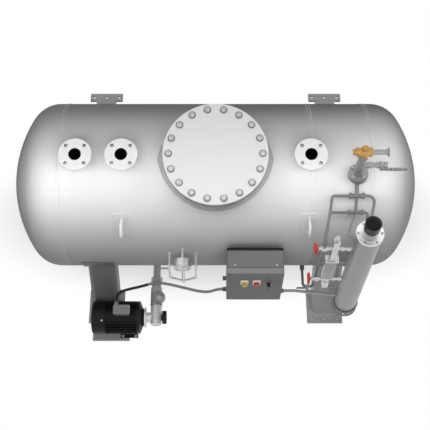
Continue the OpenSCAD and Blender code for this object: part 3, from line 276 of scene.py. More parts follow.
finishes = {
    # the shell's inside and the hole walls below the nozzles are painted near black: painted shade
    "vesselSteel": {
        "color": (0.56, 0.56, 0.56), "rough": 0.42, "roughVary": 0.10, "metal": 0.06,
        "cloud": 5.0, "vary": 0.035, "gloss": 0.0, "grain": 300.0, "bump": 0.06, "stretch": (0.15, 1, 1),
        "inside": vesselShadeMask, "insideColor": (0.003, 0.003, 0.003)},
    # near black: painted shade on the heads' inner faces
    "vesselInsideShade": {
        "color": (0.004, 0.004, 0.004), "rough": 0.7, "roughVary": 0.1, "metal": 0.0,
        "cloud": 5.0, "vary": 0.2, "gloss": 0.1},
    # seam beads are painted near black where they cross a nozzle bore: painted shade
    "seamSteel": {
        "color": (0.62, 0.62, 0.62), "rough": 0.4, "roughVary": 0.1, "metal": 0.1,
        "cloud": 90.0, "vary": 0.10, "gloss": 0.2,
        "inside": boreShadeMask, "insideColor": (0.002, 0.002, 0.002)},
    "coverSteel": {
        "color": (0.70, 0.692, 0.692), "rough": 0.5, "roughVary": 0.08, "metal": 0.85,
        "cloud": 9.0, "vary": 0.02, "gloss": 0.3},
    # the manhole's neck and plate are painted darker than the shell: painted shade under the cover
    "neckSteelPaintedShade": {
        "color": (0.30, 0.30, 0.30), "rough": 0.45, "roughVary": 0.1, "metal": 0.2,
        "cloud": 14.0, "vary": 0.08, "gloss": 0.2,
        "inside": onPlate(edges["padRise"]), "insideColor": (0.36, 0.36, 0.36)},
    # the nozzle bores and bolt holes are painted near black: painted shade
    "flangeSteel": {
        "color": (0.70, 0.70, 0.695), "rough": 0.38, "roughVary": 0.1, "metal": 0.7,
        "cloud": 30.0, "vary": 0.06,
        "inside": nozzleShadeMask, "insideColor": (0.002, 0.002, 0.002)},
    "eyeSteel": {
        "color": (0.80, 0.80, 0.79), "rough": 0.3, "roughVary": 0.1, "metal": 0.7,
        "cloud": 40.0, "vary": 0.06,
        "inside": onPlate(edges["eyeRise"]), "insideColor": (0.52, 0.52, 0.52)},
    "stackSteel": {
        "color": (0.27, 0.27, 0.265), "rough": 0.34, "roughVary": 0.12, "metal": 0.7,
        "cloud": 60.0, "vary": 0.3},
    "nutSteel": {
        "color": (0.46, 0.46, 0.455), "rough": 0.3, "roughVary": 0.1, "metal": 0.5,
        "cloud": 90.0, "vary": 0.1},
    "leverSteel": {
        "color": (0.19, 0.19, 0.187), "rough": 0.28, "roughVary": 0.1, "metal": 0.7,
        "cloud": 60.0, "vary": 0.15},
    "boltSteel": {
        "color": (0.36, 0.36, 0.36), "rough": 0.3, "roughVary": 0.1, "metal": 0.6,
        "cloud": 90.0, "vary": 0.2},
    "legPaint": {
        "color": (0.46, 0.46, 0.465), "rough": 0.45, "roughVary": 0.1, "metal": 0.0,
        "cloud": 12.0, "vary": 0.09, "gloss": 0.3},
    # front left leg: painted shade above its foot, and the foot painted lighter than the other legs as
    # painted light
    "legPaintedShade": {
        "color": (0.60, 0.60, 0.605), "rough": 0.45, "roughVary": 0.1, "metal": 0.0,
        "cloud": 12.0, "vary": 0.09, "gloss": 0.3,
        "inside": beyond("z", edges["footTop"]), "insideColor": (0.19, 0.19, 0.192)},
    # a lighter copy of the legs' grey for the rear brackets: painted light
    "bracketPaintedLight": {
        "color": (0.56, 0.56, 0.56), "rough": 0.45, "roughVary": 0.1, "metal": 0.1,
        "cloud": 14.0, "vary": 0.07, "gloss": 0.4},
    "motorBlack": {
        "color": (0.007, 0.007, 0.008), "rough": 0.42, "roughVary": 0.12, "metal": 0.0,
        "cloud": 20.0, "vary": 0.2, "gloss": 0.25},
    "lidGrey": {
        "color": (0.24, 0.25, 0.24), "rough": 0.5, "roughVary": 0.1, "metal": 0.0,
        "cloud": 30.0, "vary": 0.08},
    "pumpIron": {
        "color": (0.33, 0.33, 0.32), "rough": 0.45, "roughVary": 0.25, "metal": 0.4,
        "cloud": 55.0, "vary": 0.7, "grain": 220.0, "bump": 0.9,
        "inside": beyond("y", edges["suctionY"]), "insideColor": (0.48, 0.48, 0.47), "insideMetal": 0.4},
    "pumpBarrel": {
        "color": (0.74, 0.74, 0.73), "rough": 0.38, "roughVary": 0.15, "metal": 0.5,
        "cloud": 60.0, "vary": 0.3, "grain": 300.0, "bump": 0.3},
    "tubeSteel": {
        "color": (0.20, 0.20, 0.197), "rough": 0.3, "roughVary": 0.1, "metal": 0.6,
        "cloud": 40.0, "vary": 0.2},
    "conduitGrey": {
        "color": (0.34, 0.34, 0.33), "rough": 0.32, "roughVary": 0.1, "metal": 0.4,
        "cloud": 40.0, "vary": 0.15},
    # the box's rear strip is painted black: a painted shadow on its top by the vessel
    "boxEnamel": {
        "color": (0.160, 0.160, 0.156), "rough": 0.5, "roughVary": 0.06, "metal": 0.0,
        "cloud": 10.0, "vary": 0.05, "gloss": 0.3,
        "inside": beyond("y", edges["boxRearY"]), "insideColor": (0.004, 0.004, 0.004)},
    # the cover's top face is painted a little lighter: a painted highlight
    "coverEnamel": {
        "color": (0.21, 0.21, 0.205), "rough": 0.5, "roughVary": 0.06, "metal": 0.0,
        "cloud": 10.0, "vary": 0.05, "gloss": 0.3,
        "inside": beyond("z", edges["coverTopZ"]), "insideColor": (0.23, 0.23, 0.225)},
    "bottlePaint": {
        "color": (0.36, 0.355, 0.347), "rough": 0.34, "roughVary": 0.06, "metal": 0.5,
        "cloud": 10.0, "vary": 0.04, "gloss": 0.3},
    # the skirt's inner faces are painted near black: painted shade
    "skirtPaint": {
        "color": (0.34, 0.336, 0.33), "rough": 0.5, "roughVary": 0.06, "metal": 0.0,
        "cloud": 14.0, "vary": 0.08, "gloss": 0.3,
        "inside": skirtShadeMask, "insideColor": (0.015, 0.015, 0.015)},
    "bottleCap": {
        "color": (0.92, 0.91, 0.91), "rough": 0.4, "roughVary": 0.08, "metal": 0.9,
        "cloud": 40.0, "vary": 0.04},
    "fittingChrome": {
        "color": (0.55, 0.55, 0.55), "rough": 0.22, "roughVary": 0.1, "metal": 0.9,
        "cloud": 70.0, "vary": 0.3},
    "bareBrass": {
        "color": (0.40, 0.235, 0.075), "rough": 0.3, "roughVary": 0.12, "metal": 0.75,
        "cloud": 60.0, "vary": 0.3,
        "inside": beyond("x", edges["outletX"]), "insideColor": (0.27, 0.27, 0.265), "insideMetal": 0.75},
    "gaugeCase": {
        "color": (0.64, 0.64, 0.635), "rough": 0.3, "roughVary": 0.08, "metal": 0.85,
        "cloud": 60.0, "vary": 0.08},
    "whitePlate": {
        "color": (0.92, 0.92, 0.91), "rough": 0.6, "roughVary": 0.06, "metal": 0.6,
        "cloud": 60.0, "vary": 0.03},
    "lampLens": {
        "color": (0.66, 0.46, 0.08), "rough": 0.2, "roughVary": 0.04, "metal": 0.0,
        "cloud": 60.0, "vary": 0.05},
    "buttonRed": {
        "color": (0.60, 0.04, 0.035), "rough": 0.3, "roughVary": 0.06, "metal": 0.0,
        "cloud": 60.0, "vary": 0.06},
    "blackPlastic": {
        "color": (0.006, 0.006, 0.006), "rough": 0.28, "roughVary": 0.08, "metal": 0.0,
        "cloud": 60.0, "vary": 0.1},
    "sensorBlack": {
        "color": (0.45, 0.45, 0.45), "rough": 0.22, "roughVary": 0.06, "metal": 0.0,
        "cloud": 60.0, "vary": 0.1, "gloss": 0.25,
        "inside": beyond("z", edges["sensorZ"]), "insideColor": (0.002, 0.002, 0.002)},
    # past the cable's black length it is painted grey: a painted highlight
    "cableRubber": {
        "color": (0.008, 0.008, 0.008), "rough": 0.32, "roughVary": 0.08, "metal": 0.0,
        "cloud": 60.0, "vary": 0.1,
        "inside": beyond("x", edges["cableX"]), "insideColor": (0.30, 0.30, 0.30)},
}
glasses = {
    "clearGlass": {"color": (0.93, 0.96, 0.95, 1), "rough": 0.04, "alpha": 0.12},
    "guardGlass": {"color": (0.62, 0.64, 0.63, 1), "rough": 0.04, "alpha": 0.55},
}


def glassFinish(name, s):
    return Paint(name).set(Base_Color=s["color"], Roughness=s["rough"], Alpha=s["alpha"])


paint = {name: cloudyFinish(name, s) for name, s in finishes.items()}
paint.update({name: glassFinish(name, s) for name, s in glasses.items()})

nodeFinish = {
    "vesselSteel": "shell left_head right_head",
    "coverSteel": "manhole_cover",
    "neckSteelPaintedShade": "manhole_neck",
    "flangeSteel": "left_nozzle middle_nozzle right_nozzle",
    "eyeSteel": "left_lifting_eye right_lifting_eye",
    "stackSteel": "stack_nozzle stack_column ball_valve",
    "leverSteel": "valve_lever",
    "legPaintedShade": "front_left_leg",
    "legPaint": "front_right_leg rear_left_leg rear_right_leg pump_base bottle_clamp",
    "bracketPaintedLight": "rear_left_bracket rear_right_bracket",
    "motorBlack": "motor fan_cover strainer",
    "lidGrey": "terminal_box",
    "pumpIron": "suction_line drain_cock",
    "pumpBarrel": "pump",
    "tubeSteel": "header_pipe gauge_tubes bottle_tubes",
    "conduitGrey": "level_conduit",
    "boxEnamel": "control_box",
    "coverEnamel": "control_cover",
    "lampLens": "signal_lamp",
    "buttonRed": "stop_button upper_handwheel lower_handwheel",
    "blackPlastic": "selector_switch",
    "sensorBlack": "sensor_head",
    "cableRubber": "motor_cable",
    "bottlePaint": "level_bottle",
    "skirtPaint": "bottle_skirt",
    "bottleCap": "bottle_flange",
    "fittingChrome": "gauge_fittings",
    "guardGlass": "sight_glass",
    "bareBrass": "safety_valve",
    "gaugeCase": "pressure_gauge pressure_loop",
}
for finishName, members in nodeFinish.items():
    for nodeName in members.split():
        nodes[nodeName].data.materials.clear()
        nodes[nodeName].data.materials.append(paint[finishName])

# the heads' inner faces are painted near black, a painted shade; they look to the vessel's middle: the way
# from it times the normal is below zero
for headName in ("left_head", "right_head"):
    mesh = nodes[headName].data
    mesh.materials.append(paint["vesselInsideShade"])
    centres, normals = np.zeros((2, len(mesh.polygons), 3), np.float32)
    mesh.polygons.foreach_get("center", centres.ravel())
    mesh.polygons.foreach_get("normal", normals.ravel())
    inward = ((centres - vesselAxis) * normals).sum(1) < 0
    mesh.polygons.foreach_set("material_index", inward.astype(np.int32))
print("finishes on", len(nodes), "nodes")


# a mesh piece in the plant's own frame, riding on a body
def addPiece(name, points, faces, finish, slotName, body="plant", smooth=True):
    mesh = bpy.data.meshes.new(name)
    mesh.from_pydata(points.tolist(), [], [list(f) for f in faces])
    mesh.polygons.foreach_set("use_smooth", np.full(len(mesh.polygons), smooth))
    mesh.materials.append(paint[finish])
    mesh.update()
    piece = bpy.data.objects.new(name, mesh)
    bpy.context.scene.collection.objects.link(piece)
    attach(piece, body)
    return piece


# angles of a full turn in even steps
def fullTurn(steps):
    return np.linspace(0, 2 * np.pi, steps, endpoint=False)


# quads of a grid of rows by columns, the columns closing on themselves
def ringQuads(rows, columns):
    row, column = np.meshgrid(np.arange(rows - 1), np.arange(columns), indexing="ij")
    across = (column + 1) % columns
    quads = np.stack([row * columns + column, row * columns + across,
                      (row + 1) * columns + across, (row + 1) * columns + column], -1)
    return quads.reshape(-1, 4)


# rings round a path: side is square to the path and to a given way, up is square to both, and a point is
# the path plus the radius times side by the cosine and up by the sine
def ringsAlong(path, along, away, radius, sides):
    along = along / np.linalg.norm(along, axis=1)[:, None]
    side = np.cross(along, away)
    side /= np.linalg.norm(side, axis=1)[:, None]
    up = np.cross(side, along)
    angle = fullTurn(sides)[None, :, None]
    ring = np.cos(angle) * side[:, None, :] + np.sin(angle) * up[:, None, :]
    return (path[:, None, :] + radius * ring).reshape(-1, 3)


# tube: a ring carried along the path with its side kept level, and two end caps
def sweepTube(path, radius, sides):
    points = ringsAlong(path, np.gradient(path, axis=0), [0, 0, 1.0], radius, sides)
    quads = ringQuads(len(path), sides)[:, ::-1].tolist()
    last = (len(path) - 1) * sides
    caps = [list(range(sides)), list(range(last + sides - 1, last - 1, -1))]
    return points, quads + caps


# smooth route through given points: a Catmull-Rom curve with even steps between each pair
def smoothRoute(points, steps):
    p = np.asarray(points, float)
    padded = np.vstack([2 * p[0] - p[1], p, 2 * p[-1] - p[-2]])
    t = np.linspace(0, 1, steps, endpoint=False)[None, :, None]
    a, b, c, d = (padded[k:len(padded) - 3 + k, None, :] for k in range(4))
    square = (2 * a - 5 * b + 4 * c - d) * t ** 2
    cube = (3 * b - a - 3 * c + d) * t ** 3
    curve = 0.5 * (2 * b + (c - a) * t + square + cube)
    return np.vstack([curve.reshape(-1, 3), p[-1]])


# motor cable: from the terminal box, over the pump line and up to the control box, in millimetres
motorCable = {
    "diameter": 0.018,
    "sides": 20,
    "steps": 6,
    "route": [
        (-622, -640, -366), (-622, -622, -366), (-621, -604, -366), (-614, -587, -367),
        (-601, -573, -368), (-584, -562, -370), (-560, -552, -373), (-530, -542, -377),
        (-490, -530, -383), (-450, -516, -389), (-415, -503, -396), (-378, -494, -401),
        (-340, -496, -401), (-300, -504, -399), (-250, -518, -393), (-200, -535, -382),
        (-150, -555, -364), (-105, -575, -338), (-65, -593, -304), (-38, -606, -268),
        (-18, -615, -232), (-2, -621, -204), (14, -624, -187), (28, -625, -180), (43, -625, -178)
    ],
}


def makeCable(s):
    route = smoothRoute(np.array(s["route"]) * millimetre + vesselAxis, s["steps"])
    points, faces = sweepTube(route, s["diameter"] / 2, s["sides"])
    cable = addPiece("motorCable", points, faces, "cableRubber", "cable_black")
    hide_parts("motor_cable")


makeCable(motorCable)
print("cable laid")


# turned shape: a profile of radius and height pairs spun round the axis; a zero radius closes it in a point
def turnProfile(profile, sides):
    profile = np.asarray(profile, float)
    angle = fullTurn(sides)
    spin = np.stack([np.cos(angle), np.sin(angle)], -1)
    middle = profile[1:-1]
    rings = np.concatenate([middle[:, None, :1] * spin[None], np.repeat(middle[:, None, 1:], sides, 1)], -1)
    points = np.vstack([[0, 0, profile[0, 1]], rings.reshape(-1, 3), [0, 0, profile[-1, 1]]])
    quads = ringQuads(len(middle), sides) + 1
    k = np.arange(sides)
    start = np.stack([np.zeros_like(k), 1 + (k + 1) % sides, 1 + k], -1)
    base = 1 + (len(middle) - 1) * sides
    end = np.stack([np.full_like(k, len(points) - 1), base + k, base + (k + 1) % sides], -1)
    return points, start.tolist() + quads.tolist() + end.tolist()


# the same small shape at many places: each place is an origin and the direction of the shape's own up
def repeatShape(points, faces, origins, ups):
    ups = ups / np.linalg.norm(ups, axis=1)[:, None]
    helper = np.where(np.abs(ups[:, :1]) < 0.9, [[1.0, 0, 0]], [[0, 1.0, 0]])  # not along up
    second = np.cross(ups, helper)
    second /= np.linalg.norm(second, axis=1)[:, None]
    first = np.cross(second, ups)
    basis = np.stack([first, second, ups], 1)
    placed = np.einsum("pk,nkj->npj", points, basis) + origins[:, None, :]
    shift = len(points)
    every = [[v + shift * n for v in face] for n in range(len(origins)) for face in faces]
    return placed.reshape(-1, 3), every


# directions of a frame turned about the vessel's axis: out of the shell, and back across it
def leanFrame(degrees):
    turn = math.radians(degrees)
    return np.array([0, -math.sin(turn), math.cos(turn)]), np.array([0, math.cos(turn), math.sin(turn)])


# curve on the shell: offsets along and across at a turned place, at the height that the round has there,
# which is the root of the radius squared less the offset across squared
def onShell(x, turn, along, across, lift=0.0):
    out, back = leanFrame(turn)
    height = np.sqrt((vesselR + lift) ** 2 - across ** 2)
    path = vesselAxis + height[:, None] * out + across[:, None] * back
    path[:, 0] += x + along
    return path


# point in millimetres about the vessel's axis, as metres in the plant's frame
def fromAxis(x, y, z):
    return np.array([x, y, z]) * millimetre + vesselAxis


# several pieces of mesh as one
def joined(parts):
    starts = np.cumsum([0] + [len(points) for points, group in parts])
    faces = []
    for (points, group), start in zip(parts, starts):
        faces += [[int(v) + int(start) for v in face] for face in group]
    return np.vstack([points for points, group in parts]), faces


# closed bead: a small ring carried along a closed path, its up turned away from the vessel's axis
def sweepLoop(path, radius, sides=8):
    along = np.roll(path, -1, 0) - np.roll(path, 1, 0)
    away = path - vesselAxis
    away[:, 0] = 0
    points = ringsAlong(path, along, away, radius, sides)
    quads = ringQuads(len(path) + 1, sides)[:, ::-1] % len(points)
    return points, quads.tolist()


# outline of a circle
def roundOutline(radius, steps):
    turn = fullTurn(steps)
    return radius * np.cos(turn), radius * np.sin(turn)


# outline of a rounded rectangle: four quarter circles pushed out to its corners
def roundedOutline(wide, high, corner, steps=8):
    angle = fullTurn(4 * steps) + np.pi / (4 * steps)
    x = corner * np.cos(angle) + np.sign(np.cos(angle)) * (wide / 2 - corner)
    y = corner * np.sin(angle) + np.sign(np.sin(angle)) * (high / 2 - corner)
    return x, y


# plate: an outline in the upright plane, carried from one depth to another toward the front
def frontPlate(centre, outline, thick):
    x, z = outline
    n = len(x)
    back = np.stack([x, np.zeros(n), z], -1) + centre
    front = back - [0, thick, 0]
    faces = ringQuads(2, n).tolist() + [list(range(n - 1, -1, -1)), list(range(n, 2 * n))]
    return np.vstack([back, front]), faces


# manhole cover: a washer and a domed nut on each stud, in a frame that leans to the front with the neck
coverBolts = {"count": 18, "circle": 0.525, "sink": 0.001,
              "washer": 0.0215, "washerRise": 0.003, "washerSides": 20,
              "nut": 0.0165, "nutRise": 0.007, "nutSides": 16, "domeRise": 0.011, "domeSteps": 6}


def makeCoverBolts(s):
    out, back = leanFrame(nozzleSet["lean"])
    low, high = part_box("manhole_cover")
    centre = np.array([(low.x + high.x) / 2, (low.y + high.y) / 2, (low.z + high.z) / 2])
    lean = math.radians(nozzleSet["lean"])
    half = (high.z - low.z - (high.x - low.x) * math.sin(lean)) / 2 / math.cos(lean)
    x, y = roundOutline(s["circle"] / 2, s["count"])
    origins = centre + out * (half - s["sink"]) + x[:, None] * [[1, 0, 0]] + y[:, None] * back
    ups = np.repeat(out[None], len(origins), 0)
    top = s["sink"] + s["washerRise"]
    washer = turnProfile([(0, 0), (s["washer"], 0), (s["washer"], top), (0, top)], s["washerSides"])
    addPiece("coverWashers", *repeatShape(*washer, origins, ups), "tubeSteel", "flange_steel", smooth=False)
    curve = np.linspace(0, np.pi / 2, s["domeSteps"])
    dome = np.stack([s["nut"] * np.cos(curve), top + s["nutRise"] + s["domeRise"] * np.sin(curve)], -1)
    profile = np.vstack([[[0, 0], [s["nut"], 0]], dome[:-1], [[0, dome[-1, 1]]]])
    nut = turnProfile(profile, s["nutSides"])
    addPiece("coverNuts", *repeatShape(*nut, origins, ups), "nutSteel", "flange_steel")


makeCoverBolts(coverBolts)
print("manhole bolts set")

# weld beads: ring seams in pairs of ridges, and a bead round each piece that is welded to the shell
welds = {
    "seams": (-0.895, 0.555, 0.895), "seamGap": 0.016, "seamBead": 0.0026, "seamSides": 180, "beadSides": 6,
    "smallStep": 4, "nozzleBead": 0.0045, "nozzleOut": 0.0025,
    "padArc": 0.3355, "padShift": 0.0485, "padLift": 0.008, "padBead": 0.003,
    "neckRadius": 0.254, "neckBead": 0.007,
    "eyes": (-0.533, 0.533), "eyeTurn": 55.5, "eyeWide": 0.100, "eyeHigh": 0.142, "eyeCorner": 0.018,
    "eyeLift": 0.003, "eyeBead": 0.003,
    "stack": (0.796, -0.215, 0.021),
    "sockets": ((-0.2705, 0.059, 0.012), (-0.193, 0.098, 0.010), (-0.1155, 0.059, 0.012)),
    "socketTurn": 90, "socketBead": 0.003,
}


def makeWelds(s):
    cosine, sine = roundOutline(1.0, s["seamSides"])
    beads = []
    for x in s["seams"]:
        for side in (-0.5, 0.5):
            place = np.full(len(cosine), x + side * s["seamGap"])
            path = np.stack([place, axisY + vesselR * cosine, axisZ + vesselR * sine], -1)
            beads.append(sweepLoop(path, s["seamBead"], s["beadSides"]))
    smallX, smallY = cosine[::s["smallStep"]], sine[::s["smallStep"]]
    pipe = nozzleSet["pipe"] + s["nozzleOut"]
    for x in nozzleSet["places"]:
        path = onShell(x, nozzleSet["lean"], pipe * smallX, pipe * smallY)
        beads.append(sweepLoop(path, s["nozzleBead"]))
    # plate's edge: two arcs with their centres shifted apart, so the reach is a root less the shift
    shift = s["padShift"]
    reach = np.sqrt(s["padArc"] ** 2 - (shift * cosine) ** 2) - shift * np.abs(sine)
    for radius, bead in ((reach, s["padBead"]), (s["neckRadius"], s["neckBead"])):
        path = onShell(0, nozzleSet["lean"], radius * cosine, radius * sine, s["padLift"])
        beads.append(sweepLoop(path, bead))
    along, across = roundedOutline(s["eyeWide"], s["eyeHigh"], s["eyeCorner"])
    for x in s["eyes"]:
        beads.append(sweepLoop(onShell(x, s["eyeTurn"], along, across, s["eyeLift"]), s["eyeBead"]))
    x, y, radius = s["stack"]
    beads.append(sweepLoop(onShell(x, 0, radius * smallX, y + radius * smallY), s["nozzleBead"]))
    for x, z, radius in s["sockets"]:
        path = onShell(x, s["socketTurn"], radius * smallX, z + radius * smallY)
        beads.append(sweepLoop(path, s["socketBead"]))
    addPiece("weldBeads", *joined(beads), "seamSteel", "vessel_steel")


makeWelds(welds)
print("seams welded")

# gasket: a thin dark ring that shows at the joint under the manhole cover
gasket = {"radius": 0.2951, "rise": 0.0858, "bead": 0.0012, "sides": 120}


def makeGasket(s):
    out, back = leanFrame(nozzleSet["lean"])
    x, y = roundOutline(s["radius"], s["sides"])
    path = vesselAxis + (vesselR + s["rise"]) * out + x[:, None] * [[1, 0, 0]] + y[:, None] * back
    addPiece("coverGasket", *sweepLoop(path, s["bead"]), "blackPlastic", "knob_black")


makeGasket(gasket)
print("gasket laid")


# places on a level circle, at the given degrees
def circlePlaces(x, y, z, radius, degrees):
    return [(x + radius * math.cos(turn), y + radius * math.sin(turn), z) for turn in np.radians(degrees)]


# screws and nuts, in millimetres about the vessel's axis: each group has its head's radius, rise and sides
headShape = {"sink": 1, "shoulder": 0.75, "flat": 0.8}
fasteners = {
    "stackNuts": {
        "radius": 10, "rise": 11, "sides": 6, "up": (0, 0, 1), "finish": "boltSteel",
        "places": circlePlaces(796, -215, 533, 42, (45, 135, 225, 315))},
    "bottleScrews": {
        "radius": 7, "rise": 6, "sides": 6, "up": (0, 0, 1), "finish": "boltSteel",
        "places": circlePlaces(813, -634, 633, 63, (0, 60, 120, 180, 240, 300))},
    "boxScrews": {
        "radius": 4, "rise": 2.5, "sides": 12, "up": (0, 0, 1), "finish": "whitePlate",
        "places": [(111, -632, 209), (350, -632, 209)]},
    "lidScrews": {
        "radius": 4, "rise": 2.5, "sides": 10, "up": (0, 0, 1), "finish": "boltSteel",
        "places": [(x, y, -339) for x in (-629, -541) for y in (-718, -674)]},
    "motorFootBolts": {
        "radius": 9, "rise": 8, "sides": 6, "up": (0, 0, 1), "finish": "seamSteel",
        "places": [(x, y, -584) for x in (-594, -512) for y in (-786, -606)]},
    "hoodScrews": {
        "radius": 5, "rise": 3, "sides": 12, "up": (0, -0.5, 0.866), "finish": "whitePlate",
        "places": [(-712, -749, -394.204)]},
}


def makeFasteners(name, s):
    r, h, low = s["radius"], s["rise"], -headShape["sink"]
    profile = [(0, low), (r, low), (r, headShape["shoulder"] * h), (headShape["flat"] * r, h), (0, h)]
    points, faces = turnProfile(profile, s["sides"])
    origins = np.array([fromAxis(*place) for place in s["places"]])
    ups = np.repeat([s["up"]], len(origins), 0)
    heads = repeatShape(points * millimetre, faces, origins, ups)
    addPiece(name, *heads, s["finish"], "flange_steel", smooth=False)


for groupName, group in fasteners.items():
    makeFasteners(groupName, group)
print("screws and nuts set")

# control box: a blank white plate behind the lamp and the button, and a metal ring round the switch
controls = {"plates": ((168, 66), (239, 66)), "switch": (309, 66), "front": -685, "wide": 44, "high": 62,
            "rise": 9, "corner": 6, "thick": 3, "ring": 21, "ringThick": 4, "ringSides": 28}


def makeControls(s):
    outline = roundedOutline(s["wide"] * millimetre, s["high"] * millimetre, s["corner"] * millimetre)
    plates = [frontPlate(fromAxis(x, s["front"], z + s["rise"]), outline, s["thick"] * millimetre)
              for x, z in s["plates"]]
    addPiece("controlPlates", *joined(plates), "whitePlate", "gauge_case", smooth=False)
    x, z = s["switch"]
    outline = roundOutline(s["ring"] * millimetre, s["ringSides"])
    ring = frontPlate(fromAxis(x, s["front"], z), outline, s["ringThick"] * millimetre)
    addPiece("switchRing", *ring, "boltSteel", "flange_steel", smooth=False)


makeControls(controls)

# selector switch: a rounded key in front of the knob, longer below its middle, that turns with it
switchKey = {"front": -700, "deep": 16, "wide": 15, "above": 15, "below": 37, "corner": 7}


def makeSwitchKey(s):
    x, z = controls["switch"]
    high = s["above"] + s["below"]
    outline = roundedOutline(s["wide"] * millimetre, high * millimetre, s["corner"] * millimetre)
    middle = fromAxis(x, s["front"], z + (s["above"] - s["below"]) / 2)
    key = frontPlate(middle, outline, s["deep"] * millimetre)
    addPiece("switchKey", *key, "blackPlastic", "knob_black", body="switch", smooth=False)


makeSwitchKey(switchKey)
print("controls dressed")

# ball valve lever: an oval sleeve over the flat bar, scaled down at both ends, that turns with it
leverGrip = {"from": 26, "to": 114, "wide": 13, "thick": 8, "sides": 20, "stem": 12, "barHalf": 2.5,
             "steps": (0, 0.03, 0.08, 0.92, 0.97, 1), "scales": (0.6, 0.9, 1, 1, 0.9, 0.6)}


def makeLeverGrip(s):
    low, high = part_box("valve_lever")
    stemX = low.x + s["stem"] * millimetre
    middle = np.array([stemX, low.y + s["barHalf"] * millimetre, (low.z + high.z) / 2])
    n = s["sides"]
    angle = fullTurn(n)
    oval = np.stack([np.zeros(n), s["thick"] * np.cos(angle), s["wide"] * np.sin(angle)], -1)
    scale = np.array(s["scales"])[:, None, None]
    along = s["from"] + (s["to"] - s["from"]) * np.array(s["steps"])[:, None, None]
    rings = scale * oval[None] + along * np.array([1, 0, 0])
    points = rings.reshape(-1, 3) * millimetre + middle
    ends = [list(range(n - 1, -1, -1)), list(range(len(points) - n, len(points)))]
    faces = ringQuads(len(scale), n).tolist() + ends
    addPiece("leverGrip", points, faces, "leverSteel", "pipe_steel", body="lever")


makeLeverGrip(leverGrip)
print("lever sleeved")

# pressure gauge: white face with ticks over three quarters of a circle, a needle and a glass
dial = {"x": -193, "z": 98, "floor": -600, "face": 46, "sides": 48, "thick": 0.6, "glassDepth": 4.2,
        "ticks": 25, "spread": 135, "tickOut": 42, "tickIn": 34, "longIn": 30, "longEvery": 4,
        "tickWide": 1.6, "tickRise": 1.2,
        "needle": 36, "needleTail": 8, "needleWide": 3.0, "needleRise": 2.5, "needleTurn": 55}


def makeDial(s):
    centre = fromAxis(s["x"], s["floor"], s["z"])
    disc = roundOutline(s["face"] * millimetre, s["sides"])
    thick = s["thick"] * millimetre
    addPiece("dialFace", *frontPlate(centre, disc, thick), "whitePlate", "gauge_case", smooth=False)
    angle = np.radians(np.linspace(-s["spread"], s["spread"], s["ticks"]))
    inner = np.where(np.arange(s["ticks"]) % s["longEvery"] == 0, s["longIn"], s["tickIn"])
    bars = [(a, r, s["tickOut"], s["tickWide"], s["tickRise"]) for a, r in zip(angle, inner)]
    needleTurn = math.radians(s["needleTurn"])
    bars.append((needleTurn, -s["needleTail"], s["needle"], s["needleWide"], s["needleRise"]))
    parts = []
    for a, near, far, wide, rise in bars:
        line = np.array([math.sin(a), math.cos(a)])
        flank = np.array([math.cos(a), -math.sin(a)]) * wide / 2
        start, end = near * line, far * line
        corner = np.array([start + flank, end + flank, end - flank, start - flank])
        parts.append(frontPlate(centre, corner.T * millimetre, rise * millimetre))
    addPiece("dialMarks", *joined(parts), "blackPlastic", "knob_black", smooth=False)
    glass = frontPlate(centre - [0, s["glassDepth"] * millimetre, 0], disc, thick)
    addPiece("dialGlass", *glass, "clearGlass", "gauge_glass", smooth=False)


makeDial(dial)
print("dial marked")

# floor and world
studio = {
    "floorSize": 40, "floorGrey": 0.86, "floorRough": 0.9, "floorWhite": 0.42, "ambient": 0.05,
    "feet": {"x": 0.711, "halfX": 0.112, "y": 0.572, "halfY": 0.112},
    "near": {"y": 0.15, "halfX": 1.10, "halfY": 0.42, "from": 0.2, "to": 2.6},
}


# share of rays that see the white surround: camera, glossy and transmission rays
def whiteRays(p):
    kinds = [p.node("ShaderNodeLightPath", {}, {}, kind)
             for kind in ("Is Camera Ray", "Is Glossy Ray", "Is Transmission Ray")]
    return (kinds[0] + kinds[1] + kinds[2]) > 0.5


def makeFloor(s):
    half = s["floorSize"] / 2
    corners = [(-half, -half, 0), (half, -half, 0), (half, half, 0), (-half, half, 0)]
    mesh = bpy.data.meshes.new("floor")
    mesh.from_pydata(corners, [], [(0, 1, 2, 3)])
    p = Paint("paleFloor")
    grey = s["floorGrey"]
    p.set(Base_Color=(grey, grey, grey, 1), Roughness=s["floorRough"], Specular_IOR_Level=0.0)
    glow = p.node("ShaderNodeEmission", {}, {"Color": (1, 1, 1, 1), "Strength": 1.0})
    # floor turns to plain white away from the object, by the squared distance in half widths
    near = s["near"]
    x, y = p.axes()[:2]
    ratioX = x * (1 / near["halfX"])
    ratioY = (y - near["y"]) * (1 / near["halfY"])
    inputs = {"Value": ratioX * ratioX + ratioY * ratioY, "From Min": near["from"], "From Max": near["to"],
              "To Min": s["floorWhite"], "To Max": 1.0}
    far = p.node("ShaderNodeMapRange", {"interpolation_type": "SMOOTHSTEP"}, inputs)
    # under the four feet it stays shaded, which their holes show
    feet = s["feet"]
    besideX = p.absolute(p.absolute(x) - feet["x"]) < feet["halfX"]
    besideY = p.absolute(p.absolute(y - axisY) - feet["y"]) < feet["halfY"]
    white = whiteRays(p) * (far * (1 - besideX * besideY))
    matt = Value(p.tree, p.shader.outputs[0])
    blend = p.node("ShaderNodeMixShader", {}, {0: white, 1: matt, 2: glow})
    p.tree.links.new(blend.socket, p.tree.nodes["Material Output"].inputs[0])
    mesh.materials.append(p.material)
    floor = bpy.data.objects.new("floor", mesh)
    bpy.context.scene.collection.objects.link(floor)


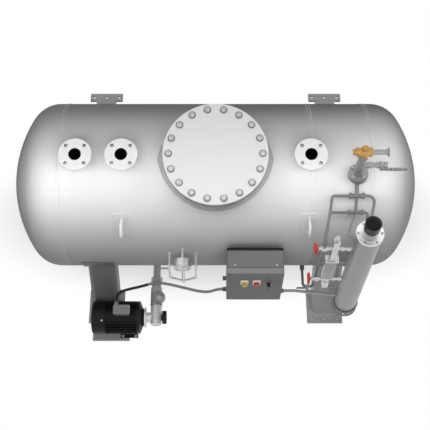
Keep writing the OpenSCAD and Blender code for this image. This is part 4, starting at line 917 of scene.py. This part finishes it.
class SkyPaint(Paint):
    def __init__(self):
        self.material = bpy.data.worlds.new("studio")
        bpy.context.scene.world = self.material
        self.material.use_nodes = True
        self.tree = self.material.node_tree
        self.shader = self.tree.nodes["Background"]


def makeSky(s):
    sky = SkyPaint()
    sky.set(Color=(1, 1, 1, 1), Strength=whiteRays(sky) * (1 - s["ambient"]) + s["ambient"])


makeFloor(studio)
makeSky(studio)
print("floor and sky laid")

# lamps: each stands at a turn about the vessel's axis and looks at a share of its place along it
lampAim = 0.5
lamps = {
    "key": {"turn": 25, "along": 0.0, "away": 1.0, "size": (2.6, 0.24), "power": 10.0, "shadow": False},
    "leftEnd": {"turn": 32, "along": -1.06, "away": 1.0, "size": (0.3, 0.3), "power": 1.2, "shadow": False},
    "rightEnd": {"turn": 6, "along": 1.14, "away": 1.0, "size": (0.3, 0.3), "power": 1.5, "shadow": False},
    "top": {"turn": -22, "along": -2.0, "away": 4.0, "size": (0.7, 0.7), "power": 20, "shadow": True},
    "sky": {"turn": 44, "along": 0.0, "away": 6.0, "size": (5.0, 3.0), "power": 92, "shadow": True},
    "right": {"turn": 60, "along": 4.0, "away": 2.2, "size": (1.6, 1.6), "power": 14, "shadow": True},
    "back": {"turn": -100, "along": 0.0, "away": 5.0, "size": (4.0, 2.0), "power": 10, "shadow": True},
}


def makeLamp(name, s):
    lamp = bpy.data.objects.new(name, bpy.data.lights.new(name, "AREA"))
    bpy.context.scene.collection.objects.link(lamp)
    turn = math.radians(s["turn"])
    lamp.location = (s["along"], axisY - s["away"] * math.sin(turn), axisZ + s["away"] * math.cos(turn))
    aim = mathutils.Vector((lampAim * s["along"], axisY, axisZ)) - lamp.location
    lamp.rotation_euler = aim.to_track_quat("-Z", "Y").to_euler() if s["along"] else (turn, 0, 0)
    lamp.data.shape = "RECTANGLE"
    lamp.data.size, lamp.data.size_y = s["size"]
    lamp.data.energy = s["power"]
    lamp.data.use_shadow = s["shadow"]
    lamp.visible_camera = False
    lamp.visible_glossy = False


for lampName, lampSet in lamps.items():
    makeLamp(lampName + "Lamp", lampSet)
bpy.context.scene.view_settings.view_transform = "Standard"
print("studio lit")
